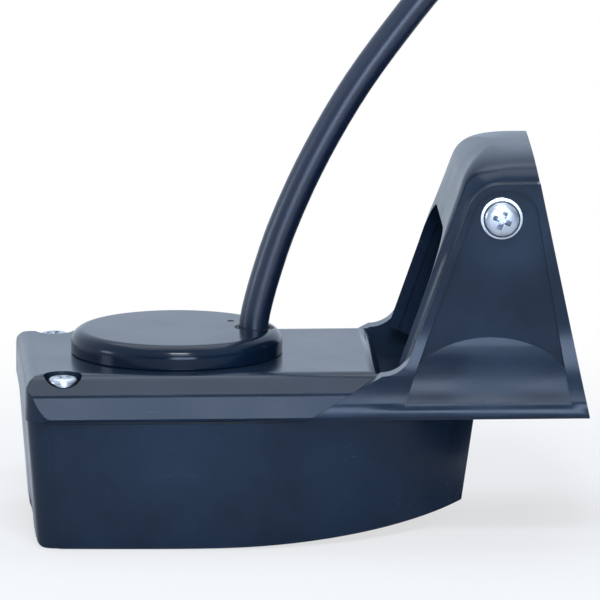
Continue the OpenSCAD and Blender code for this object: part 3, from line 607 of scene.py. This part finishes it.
def make_materials(finish):
    for group in (moulded_group(), scuff_group(), turned_metal_group()):
        GROUPS[group.name] = group
    coarse = 0.04 * MM
    MATERIALS.update({
        "housing": plastic("Housing plastic", finish.housing, 0.19),
        "cap": plastic("Cap plastic", finish.cap, 0.16, marks=0.4),
        "bracket": plastic("Bracket plastic", finish.bracket, 0.24),
        "rubber": plastic(
            "Seal rubber", (0.010, 0.012, 0.016), 0.6, marks=0.2, grain=700.0, depth=coarse, level=0.3),
        "ceramic": plastic("Fired ceramic", (0.72, 0.68, 0.58), 0.5, marks=0.1, cloud=0.15, level=0.4),
        "resin": plastic("Cast resin", (0.05, 0.042, 0.035), 0.4, marks=0.2, cloud=0.5),
        "plug": plastic("Plug plastic", (0.014, 0.016, 0.021), 0.45, grain=900.0, depth=coarse),
        "insert": plastic("Contact holder", (0.56, 0.55, 0.50), 0.5, marks=0.2),
        "steel": metal("Stainless steel", (0.52, 0.54, 0.58), (0.24, 0.26, 0.30), 0.24),
        "copper": metal("Tinned copper", (0.78, 0.46, 0.30), (0.42, 0.24, 0.15), 0.3),
        "brass": metal("Gilt contact", (0.83, 0.62, 0.25), (0.45, 0.32, 0.12), 0.22),
        "jacket": jacket_material(finish.jacket),
        "cork": cork_material(),
        "strap": strap_material(),
    })


# Operators, one for each piece or group of like pieces


class BuildHull(bpy.types.Operator):
    """Hull with its rounded edges, and the seal in the seam"""

    bl_idname = "transducer.hull"
    bl_label = "Hull"

    def execute(self, context):
        edge = context.scene.transducer_finish.edge
        moulded_shell("lower_hull", "hull_shell", edge, "housing", "housing_plastic")
        paint(NODES["deck_gasket"], "rubber")
        return {"FINISHED"}


class BuildDeck(bpy.types.Operator):
    """Deck with its two ears"""

    bl_idname = "transducer.deck"
    bl_label = "Deck"

    def execute(self, context):
        edge = context.scene.transducer_finish.edge
        moulded_shell("top_deck", "deck_shell", edge, "housing", "housing_plastic")
        return {"FINISHED"}


class BuildCap(bpy.types.Operator):
    """Element cap, its seal and the sleeve round the cable"""

    bl_idname = "transducer.cap"
    bl_label = "Element cap"

    def execute(self, context):
        low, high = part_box("element_cap")
        axis = (low.x + high.x) / 2
        cap = self.turned_cap("element_cap_shell", low, high)
        cap.data.transform(Matrix.Translation((axis, 0, 0)))
        through, hole_r = low.z - MM, span("cable_gland").x / 2 + 0.1 * MM
        self.drill(cap, middle("cable_gland").x, 0, hole_r, through, high.z + MM)
        vent_out, vent_turn, vent_r, vent_floor = 16.7 * MM, math.radians(31), 0.9 * MM, high.z - MM
        vent = (axis + vent_out * math.cos(vent_turn), vent_out * math.sin(vent_turn))
        self.drill(cap, *vent, vent_r, vent_floor, high.z + MM)
        finish_form(cap, 0.25 * MM, "cap", BODY, "cap_plastic", "element_cap")
        moulded_shell("cable_gland", "cable_sleeve", 0.3 * MM, "rubber", "seal_rubber")
        paint(NODES["cap_seal"], "rubber")
        return {"FINISHED"}

    def turned_cap(self, name, low, high):
        """Cap with a full round edge, and the spigot under it."""
        clear, chamfer, edge, plate = 0.25 * MM, 0.3 * MM, 3.4 * MM, 6.2 * MM
        r, spigot, seat = (high.x - low.x) / 2 - clear, 25.8 * MM, high.z - plate
        outline = [(0, low.z), (spigot, low.z), (spigot, seat), (r - chamfer, seat), (r, seat + chamfer)]
        outline += arc(r - edge, high.z - edge, edge, range(0, 91, 9))
        return lathe(name, outline + [(0.5 * r, high.z), (0, high.z)], 144)

    def drill(self, cap, x, y, r, bottom, top):
        bit = lathe(cap.name + "_drill", [(0, bottom), (r, bottom), (r, top), (0, top)], 40)
        bit.data.transform(Matrix.Translation((x, y, 0)))
        cut_with(cap, bit)


class BuildElement(bpy.types.Operator):
    """Finish of the potted pieces inside the hull"""

    bl_idname = "transducer.element"
    bl_label = "Potted element"

    def execute(self, context):
        for node, look in (("ceramic_disc", "ceramic"), ("cork_sleeve", "cork"), ("cork_backing", "cork"),
                           ("potting_fill", "resin"), ("lead_wires", "copper")):
            paint(NODES[node], look)
        return {"FINISHED"}


def hood_levels(foot, spring, wide, dome_h):
    """Height and half width of the hood's rows: an upright wall, then a squared dome."""
    wall_rows, dome_rows, dome_step, squareness = 14, 23, 4, 3.5
    levels = [(foot + (spring - foot) * k / wall_rows, wide) for k in range(wall_rows)]
    for k in range(dome_rows):
        t = math.radians(dome_step * k)
        levels.append((spring + dome_h * math.sin(t) ** (2 / squareness),
                       wide * math.cos(t) ** (2 / squareness)))
    return levels


def hood_form(name):
    """Closed outer form of the bracket: a leaning box with soft open corners that swell into a round hood."""
    low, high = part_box("transom_bracket")
    pivot, inside, spare = middle("pivot_washers"), 0.02 * MM, 3 * MM
    back, foot, top, wide = high.x + spare, low.z - spare, high.z - inside, high.y - inside
    lean_turn, aft_of_pivot, front_r, dome_h = math.radians(19.5), 12.2 * MM, 10.5 * MM, 16 * MM
    lean, reach = math.tan(lean_turn), pivot.x - aft_of_pivot + inside
    front_x = reach + (top - pivot.z) * lean + front_r * (1 / math.cos(lean_turn) - lean)
    swell_from, swell_over, corner_steps = pivot.z - 12 * MM, 14 * MM, 14
    rows = []
    for z, half in hood_levels(foot, top - dome_h, wide, dome_h):
        bend = (z - top + front_r) / front_r
        front = reach + (z - pivot.z) * lean
        if bend > math.sin(lean_turn):
            front = front_x - front_r * math.sqrt(max(0.0, 1 - bend * bend))
        swell = smooth_step(min(1.0, max(0.0, (z - swell_from) / swell_over)))
        r, power = (4.4 + 4.6 * swell) * MM, 1.5 + 0.5 * swell
        ry = min(r, 0.6 * half)
        near = []
        for k in range(corner_steps + 1):
            t = math.radians(90 * k / corner_steps)
            near.append((front + r * (1 - math.sin(t) ** (2 / power)),
                         -half + ry * (1 - math.cos(t) ** (2 / power)), z))
        far = [(x, -y, z) for x, y, _ in reversed(near)]
        rows.append([(back, -half, z)] + near + far + [(back, half, z)])
    count, vertices = len(rows[0]), [v for row in rows for v in row]
    faces = [tuple(range(count)), tuple(reversed(range(len(vertices) - count, len(vertices))))]
    for i in range(len(rows) - 1):
        for k in range(count):
            n = (k + 1) % count
            faces.append((i * count + k, i * count + n, (i + 1) * count + n, (i + 1) * count + k))
    return solid_object(name, vertices, faces)


class BuildBracket(bpy.types.Operator):
    """Kick-up bracket, with its hood and open corners rounded into each other"""

    bl_idname = "transducer.bracket"
    bl_label = "Kick-up bracket"

    def execute(self, context):
        bracket = merged_copy("transom_bracket", "bracket_shell")
        cut_with(bracket, hood_form("bracket_form"), "INTERSECT")
        edge = context.scene.transducer_finish.edge
        finish_form(bracket, edge, "bracket", SWING, "bracket_plastic", "transom_bracket")
        return {"FINISHED"}


def pan_head_screw(name, head_d, head_h, shank_d, shank_l):
    """One pan-head screw on z = 0 with a cross recess in its head."""
    head_r, shank_r, edge, crown = head_d / 2, shank_d / 2, 0.55 * head_h, 0.10 * head_h
    tip, taper, lip = 0.3 * MM, 0.4 * MM, 0.15 * MM
    outline = [(0, -shank_l), (shank_r - tip, -shank_l), (shank_r, -shank_l + taper), (shank_r, 0),
               (head_r - lip, 0), (head_r, lip)]
    outline += arc(head_r - edge, head_h - crown - edge, edge, range(0, 81, 10))
    flat, shoulder = outline[-1]
    outline += [(flat * k / 4, head_h - (head_h - shoulder) * (k / 4) ** 2) for k in (3, 2, 1)]
    screw = lathe(name, outline + [(0, head_h)], 56)
    deep, wide, slim, above = 0.62 * head_h, 0.29 * head_d, 0.075 * head_d, 0.2 * MM
    levels = ((head_h - deep, 0.42 * wide, 0.7 * slim), (head_h + above, wide, slim))
    vertices, faces = [], []
    for degrees in (0, 90):
        turn, base = Matrix.Rotation(math.radians(degrees), 3, "Z"), len(vertices)
        for z, half, thick in levels:
            vertices += [turn @ Vector((x * half, y * thick, z)) for x, y in SQUARE]
        faces += [tuple(base + i for i in face) for face in BLOCK_FACES]
    cut_with(screw, mesh_object(name + "_cross", vertices, faces), use_self=True)
    shade(screw, 30)
    return screw


def steel_pair(name, template, place, turn, body, node):
    """Two copies of a fastener, mirrored about the middle plane, as one plain mesh in the node's place."""
    x, y, z = place
    seats = mesh_object(name, [(x, s * y, z) for s in BOTH_SIDES])
    turns = seats.data.attributes.new("turn", "FLOAT_VECTOR", "POINT")
    for item, s in zip(turns.data, BOTH_SIDES):
        item.vector = (s * turn[0], turn[1], s * turn[2])
    run_tree(seats, "seats", "steel", Fastener=template, Size=1.0)
    bpy.data.objects.remove(template)
    if seats.data.attributes.get("turn"):
        seats.data.attributes.remove(seats.data.attributes["turn"])
    hand_over(seats, body, "steel", node)


class BuildScrews(bpy.types.Operator):
    """Deck screws and pivot screws, as copies of one pan head each"""

    bl_idname = "transducer.screws"
    bl_label = "Screws"

    def execute(self, context):
        head_h, shank_d, shank_l, cross_turn = 2.4 * MM, 3.5 * MM, 16 * MM, math.radians(20)
        low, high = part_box("deck_screws")
        head_d = high.x - low.x
        screw = pan_head_screw("deck_screw", head_d, head_h, shank_d, shank_l)
        place = ((low.x + high.x) / 2, high.y - head_d / 2, high.z - head_h)
        steel_pair("deck_screw_pair", screw, place, (0, 0, cross_turn), BODY, "deck_screws")
        head_h, shank_d, shank_l, cross_turn = 3.2 * MM, 5 * MM, 13.6 * MM, math.radians(22)
        low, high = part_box("pivot_screws")
        screw = pan_head_screw("pivot_screw", high.x - low.x, head_h, shank_d, shank_l)
        place = ((low.x + high.x) / 2, high.y - head_h, (low.z + high.z) / 2)
        steel_pair("pivot_screw_pair", screw, place, (FACE_OUT, cross_turn, 0), SWING, "pivot_screws")
        return {"FINISHED"}


class BuildWashers(bpy.types.Operator):
    """Pivot washers and nuts"""

    bl_idname = "transducer.washers"
    bl_label = "Washers and nuts"

    def execute(self, context):
        centre, bore_r, turn = middle("pivot_washers"), 2.6 * MM, (FACE_OUT, 0, 0)
        washer_t, round_r = 0.9 * MM, 0.2 * MM
        low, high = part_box("pivot_washers")
        section = ring_outline(bore_r, (high.x - low.x) / 2, 0, washer_t, round_r)
        washer = turned_ring("pivot_washer", section, 64)
        shade(washer, 40)
        place = (centre.x, high.y - washer_t, centre.z)
        steel_pair("pivot_washer_pair", washer, place, turn, SWING, "pivot_washers")
        nut_t, edge = 4 * MM, 0.25 * MM
        low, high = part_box("pivot_nuts")
        corner_r = (high.z - low.z) / math.sqrt(3)
        nut = turned_ring("pivot_nut", [(bore_r, 0), (corner_r, 0), (corner_r, nut_t), (bore_r, nut_t)], 6)
        soften(nut, edge)
        place = (centre.x, high.y - nut_t, centre.z)
        steel_pair("pivot_nut_pair", nut, place, turn, SWING, "pivot_nuts")
        return {"FINISHED"}


def coil_turns(sizes, low, high, lie):
    """Four rows of turns, each outside the last, in millimetres; a short hop leads from row to row."""
    d, r0 = sizes.diameter / MM, sizes.coil_r / MM
    cx, cy = sizes.coil_x / MM, sizes.coil_y / MM
    turn, hop, start, step = 360, 60, 180, 15
    winds = ((0, 0, lie, low, 6 * turn), (0, 1, low, low, hop), (1, 1, low, high, 5 * turn),
             (1, 2, high, high, hop), (2, 2, high, low, 5 * turn), (2, 3, low, low, hop),
             (3, 3, low, high, 4 * turn + 240))
    made = []
    for row, next_row, z1, z2, degrees in winds:
        count = math.ceil(degrees / step)
        for i in range(count):
            t = i / count
            a = math.radians(start + degrees * t)
            r = r0 + d * (row + (next_row - row) * smooth_step(t))
            made.append((cx + r * math.cos(a), cy + r * math.sin(a), z1 + (z2 - z1) * t))
        start += degrees
    return made


def cable_points(sizes):
    """The cable's route: out of the cap, over in an arch, round the coil, and on to the plug."""
    d, cx, cy = sizes.diameter / MM, sizes.coil_x / MM, sizes.coil_y / MM
    base, top = (corner.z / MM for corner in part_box("cable_coil"))
    low, high, lie = base + d / 2, top - d / 2, top + d / 2 + 0.1
    x, z = middle("cable_gland").x / MM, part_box("cable_gland")[1].z / MM
    px, py, pz = middle("plug_boot").x / MM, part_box("plug_boot")[0].y / MM, middle("plug_boot").z / MM
    arch = [(x, 0, z - 1), (x, 0, z + 1.5), (-10.9, 0, 58), (-8.6, 0, 66), (-5.4, 0, 75.5), (-0.1, 0, 88),
            (6.5, 0, 101), (14.6, 0, 114.5), (24.7, 0, 128.5), (35.6, 0, 142), (47.3, 3, 152.6),
            (61, 9, 159.3), (76, 18, 160.2), (91, 28, 153.6), (102, 38, 141), (108.5, 46, 125),
            (111.5, 52, 108), (112, 54.5, 88), (112, 50, 69.5), (112, 37, lie + 4.6)]
    tail = [(cx - 27, cy - 46.8, high), (cx - 10, cy - 53.5, 45), (cx + 8, cy - 54, 48.5), (170, -30, lie),
            (180.5, -22, lie + 1), (187, -13, lie + 3.4), (px, -4, pz), (px, py, pz), (px, py + 8, pz)]
    return [Vector(p) * MM for p in arch + coil_turns(sizes, low, high, lie) + tail]


class BuildCable(bpy.types.Operator):
    """Cable from the cap to the plug, as one jacket along its route"""

    bl_idname = "transducer.cable"
    bl_label = "Cable"

    def execute(self, context):
        sizes = context.scene.transducer_cable
        route = smooth_route(cable_points(sizes), 5.5 * MM)
        cable = mesh_object("cable_run", route, edges=[(i, i + 1) for i in range(len(route) - 1)])
        run_tree(cable, "jacket", "jacket", Diameter=sizes.diameter, Sides=sizes.sides)
        hand_over(cable, BODY, "cable_jacket", "cable", "cable_coil", "cable_tail")
        return {"FINISHED"}


class BuildTie(bpy.types.Operator):
    """Woven strap round the coil"""

    bl_idname = "transducer.tie"
    bl_label = "Coil strap"

    def execute(self, context):
        low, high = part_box("coil_tie")
        thick, r = context.scene.transducer_cable.tie_t, 4.2 * MM
        y0, y1, z0, z1 = low.y + thick, high.y, low.z, high.z
        corners = ((y1 - r, z1 - r, 0), (y0 + r, z1 - r, 90), (y0 + r, z0 + r, 180), (y1 - r, z0 + r, 270))
        loop = []
        for y, z, start in corners:
            angles = range(start, start + 91, 15)
            loop += [(*p, math.radians(a)) for p, a in zip(arc(y, z, r, angles), angles)]
        loop.append((y1, (z0 + z1) / 2, 0.0))
        vertices = [(x, y - depth * math.cos(a), z - depth * math.sin(a))
                    for y, z, a in loop for depth in (0.0, thick) for x in (low.x, high.x)]
        faces = []
        for i in range(len(loop)):
            p, n = 4 * i, 4 * ((i + 1) % len(loop))
            for a, b in ((0, 1), (3, 2), (1, 3), (2, 0)):
                faces.append((p + a, p + b, n + b, n + a))
        strap = solid_object("coil_strap", vertices, faces)
        finish_form(strap, 0.25 * MM, "strap", BODY, "tie_strap", "coil_tie", angle=60)
        return {"FINISHED"}


class BuildPlug(bpy.types.Operator):
    """Plug: ribbed bend relief, body, knurled collar, holder and contacts"""

    bl_idname = "transducer.plug"
    bl_label = "Plug"

    def execute(self, context):
        self.ribbed_boot()
        moulded_shell("plug_body", "plug_body_shell", 0.5 * MM, "plug", "plug_plastic")
        self.knurled_collar()
        paint(NODES["plug_insert"], "insert")
        self.contacts()
        return {"FINISHED"}

    def lay_down(self, obj, start):
        """Lays a form that stands on z = 0 along the plug's axis, with its foot at y = start."""
        axis = middle("plug_boot")
        turn = Matrix.Rotation(math.radians(-90), 4, "X")
        obj.data.transform(Matrix.Translation((axis.x, start, axis.z)) @ turn)

    def ribbed_boot(self):
        start, length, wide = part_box("plug_boot")[0].y, span("plug_boot").y, span("plug_boot").x / 2
        slim, core, chamfer, shoulder = 5.2 * MM, 0.8 * MM, 0.3 * MM, 0.86 * length
        boot = lathe("plug_boot_ribbed", [
            (0, 0), (slim - core - chamfer, 0), (slim - core, chamfer), (wide - core, shoulder),
            (wide - chamfer, shoulder), (wide, 0.88 * length), (wide, length), (0, length)], 48)
        shade(boot, 30)
        ring_t, round_r, pitch = 1.9 * MM, 0.35 * MM, 3.4 * MM
        ring = turned_ring("boot_ring", ring_outline(slim - 2.4 * core, slim, 0, ring_t, round_r), 40)
        shade(ring, 40)
        growth = pitch * (wide - slim) / length / slim
        run_tree(boot, "ribs", "rubber", Ring=ring, Count=6, Pitch=pitch, Growth=growth)
        bpy.data.objects.remove(ring)
        self.lay_down(boot, start)
        hand_over(boot, BODY, "seal_rubber", "plug_boot")

    def knurled_collar(self):
        low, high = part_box("plug_collar")
        ridge_h, clear, round_r, inset = 0.45 * MM, 0.1 * MM, 0.4 * MM, 1.2 * MM
        length, outer = high.y - low.y, (high.x - low.x) / 2 - ridge_h
        section = ring_outline(span("plug_body").x / 2 + clear, outer, 0, length, round_r)
        collar = turned_ring("plug_collar_knurled", section, 72)
        shade(collar, 40)
        ridge_section = ((-0.4, -0.75), (0.42, -0.3), (0.42, 0.3), (-0.4, 0.75))
        ridge = mesh_object("collar_ridge", [
            (x * MM, y * MM, z) for z in (inset, length - inset) for x, y in ridge_section], BLOCK_FACES)
        soften(ridge, 0.15 * MM)
        run_tree(collar, "circle", "plug", Form=ridge, Count=24, Radius=outer)
        bpy.data.objects.remove(ridge)
        self.lay_down(collar, low.y)
        hand_over(collar, BODY, "plug_plastic", "plug_collar")

    def contacts(self):
        low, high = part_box("plug_pins")
        length, r, taper, tip = high.y - low.y, 0.7 * MM, 0.7 * MM, 0.2 * MM
        pin = lathe("contact", [(0, 0), (r, 0), (r, length - taper), (0.75 * r, length - tip),
                                (0.3 * r, length), (0, length)], 16)
        shade(pin, 30)
        pins = mesh_object("plug_contacts", [])
        run_tree(pins, "circle", "brass", Form=pin, Count=6, Radius=(high.x - low.x) / 2 - r)
        bpy.data.objects.remove(pin)
        self.lay_down(pins, low.y)
        hand_over(pins, BODY, "contact_brass", "plug_pins")


# Studio

# Each softbox's name, power setting, size, place, aim and colour
SOFTBOXES = (
    ("overhead_softbox", "key", (1.3, 1.1), (0.0, 0.45, 1.35), (0, 0, 0.04), (0.92, 0.97, 1.0)),
    ("strip_softbox", "strip", (0.40, 0.13), (0.03, -1.05, 0.747), (-0.03, 0, 0.04), (0.62, 0.76, 1.0)),
    ("front_softbox", "front", (0.34, 0.20), (-0.02, -0.80, 0.95), (-0.03, 0, 0.04), (0.95, 0.98, 1.0)),
    ("side_softbox", "side", (0.26, 0.22), (-1.1, -0.10, 0.27), (0.02, 0, 0.06), (0.76, 0.87, 1.0)),
    ("low_softbox", "low", (0.44, 0.30), (0.05, -0.98, 0.17), (0.02, 0, 0.10), (0.58, 0.73, 1.0)),
)


def turn_towards(obj, direction):
    obj.rotation_euler = direction.to_track_quat("-Z", "Y").to_euler()


def any_of(tree, first, second):
    return math_node(tree, "MAXIMUM", first, second)


class BuildStage(bpy.types.Operator):
    """Pale floor, white surroundings, softboxes and camera"""

    bl_idname = "transducer.stage"
    bl_label = "Studio"

    def execute(self, context):
        scene, stage = context.scene, context.scene.transducer_stage
        scene.view_settings.view_transform = "Standard"
        reach, low = 6.0, -0.3 * MM
        floor = mesh_object("floor", [(x * reach, y * reach, low) for x, y in SQUARE], [(0, 1, 2, 3)])
        floor.data.materials.append(self.floor_material())
        self.surround(scene, stage.ambient)
        for name, setting, size, place, aim, colour in SOFTBOXES:
            self.softbox(name, getattr(stage, setting), size, place, aim, colour)
        self.camera(scene, stage)
        return {"FINISHED"}

    def softbox(self, name, power, size, place, aim, colour):
        lamp = bpy.data.lights.new(name, "AREA")
        lamp.energy, lamp.color, lamp.shape = power, colour, "RECTANGLE"
        lamp.size, lamp.size_y = size
        obj = add_object(name, lamp)
        obj.location = place
        turn_towards(obj, Vector(aim) - Vector(place))
        obj.visible_camera = False

    def floor_material(self):
        """Pale paper that fades to white for the camera, and to a cool white in reflections."""
        material, tree, where = new_material("Paper floor", Roughness=0.9, Specular_IOR_Level=0.1)
        fibres, shader = noise(tree, where, scale=260.0, detail=4.0), tree.nodes["Principled BSDF"]
        paper = blend_colour(tree, fibres, (0.70, 0.725, 0.77), (0.75, 0.765, 0.795))
        feed(tree, shader, {"Base Color": paper})
        apart = add_node(tree, "ShaderNodeVectorMath", {0: where}, operation="LENGTH").outputs["Value"]
        rays = tree.nodes.new("ShaderNodeLightPath").outputs
        far = spread(tree, apart, (0.08, 0.28), (0.68, 1.0))
        seen = math_node(tree, "MULTIPLY", far, rays["Is Camera Ray"])
        mirrored = any_of(tree, rays["Is Glossy Ray"], rays["Is Transmission Ray"])
        away = math_node(tree, "MULTIPLY", spread(tree, apart, (0.30, 0.80), (0.0, 1.0)), mirrored)
        tint = blend_colour(tree, mirrored, (1.0, 1.0, 1.0), (0.74, 0.87, 1.0))
        glow = add_node(tree, "ShaderNodeEmission", {"Color": tint, "Strength": 1.0})
        above = add_node(tree, "ShaderNodeMixShader", {
            0: any_of(tree, seen, away), 1: shader.outputs[0], 2: glow.outputs[0]})
        under = tree.nodes.new("ShaderNodeNewGeometry").outputs["Backfacing"]
        clear = tree.nodes.new("ShaderNodeBsdfTransparent")
        both = add_node(tree, "ShaderNodeMixShader", {0: under, 1: above.outputs[0], 2: clear.outputs[0]})
        feed(tree, tree.nodes["Material Output"], {"Surface": both.outputs[0]})
        return material

    def surround(self, scene, ambient):
        """White for the camera; for the object a pale studio, dim low down in front and on the right."""
        scene.world = scene.world or bpy.data.worlds.new("Studio")
        scene.world.use_nodes = True
        tree = scene.world.node_tree
        tree.nodes.clear()
        rays = tree.nodes.new("ShaderNodeLightPath").outputs
        where = tree.nodes.new("ShaderNodeTexCoord").outputs["Generated"]
        way, to_right = add_node(tree, "ShaderNodeSeparateXYZ", {0: where}).outputs, -0.6
        turned = math_node(tree, "MULTIPLY_ADD", way["X"], to_right, way["Y"])
        ahead = spread(tree, turned, (-0.65, 0.2), (1.0, 0.0))
        low = spread(tree, way["Z"], (0.15, 0.55), (1.0, 0.0))
        pale, dim = (0.82, 0.97, 1.18), (0.12, 0.16, 0.22)
        room = add_node(tree, "ShaderNodeBackground", {
            "Color": blend_colour(tree, math_node(tree, "MULTIPLY", ahead, low), pale, dim),
            "Strength": spread(tree, rays["Is Glossy Ray"], (0.0, 1.0), (ambient, 1.0))})
        white = add_node(tree, "ShaderNodeBackground", {"Color": (1, 1, 1, 1), "Strength": 1.0})
        shown = any_of(tree, rays["Is Camera Ray"], rays["Is Transmission Ray"])
        mix = add_node(tree, "ShaderNodeMixShader", {0: shown, 1: room.outputs[0], 2: white.outputs[0]})
        add_node(tree, "ShaderNodeOutputWorld", {0: mix.outputs[0]})

    def camera(self, scene, stage):
        a, e = stage.azimuth, stage.elevation
        ahead = Vector((-math.sin(a) * math.cos(e), math.cos(a) * math.cos(e), -math.sin(e)))
        right = Vector((math.cos(a), math.sin(a), 0))
        centre, to_right, to_top = Vector((-0.6, 0, 50)) * MM, 0.32 * MM, 7.53 * MM
        aim = centre + right * to_right + right.cross(ahead) * to_top
        lens = bpy.data.cameras.new("photo_camera")
        lens.sensor_fit, lens.sensor_width, lens.lens = "HORIZONTAL", 36.0, stage.lens
        lens.clip_start, lens.clip_end = 0.05, 60.0
        camera = add_object("photo_camera", lens)
        camera.location = aim - ahead * stage.distance
        turn_towards(camera, ahead)
        scene.camera = camera


class TransducerPanel(bpy.types.Panel):
    """Lists the steps that build the transducer"""

    bl_idname = "VIEW3D_PT_transducer"
    bl_label = "Transducer"
    bl_space_type = "VIEW_3D"
    bl_region_type = "UI"
    bl_category = "Transducer"

    def draw(self, context):
        for group, _ in SETTINGS:
            settings, box = getattr(context.scene, group), self.layout.box()
            for prop in settings.bl_rna.properties.keys():
                if prop not in ("rna_type", "name"):
                    box.prop(settings, prop)
        for step in STEPS:
            self.layout.operator(step.bl_idname)


SETTINGS = (("transducer_finish", TransducerFinish), ("transducer_cable", TransducerCable),
            ("transducer_stage", TransducerStage))
STEPS = (BuildHull, BuildDeck, BuildCap, BuildElement, BuildBracket, BuildScrews, BuildWashers, BuildTie,
         BuildPlug, BuildCable, BuildStage)


def register():
    for name, kind in SETTINGS:
        bpy.utils.register_class(kind)
        setattr(bpy.types.Scene, name, PointerProperty(type=kind))
    for kind in (*STEPS, TransducerPanel):
        bpy.utils.register_class(kind)


def unregister():
    for kind in (TransducerPanel, *reversed(STEPS)):
        bpy.utils.unregister_class(kind)
    for name, kind in reversed(SETTINGS):
        delattr(bpy.types.Scene, name)
        bpy.utils.unregister_class(kind)


def main():
    register()
    make_trees()
    make_materials(bpy.context.scene.transducer_finish)
    for step in STEPS:
        getattr(bpy.ops.transducer, step.bl_idname.split(".")[1])()


if __name__ == "__main__":
    main()
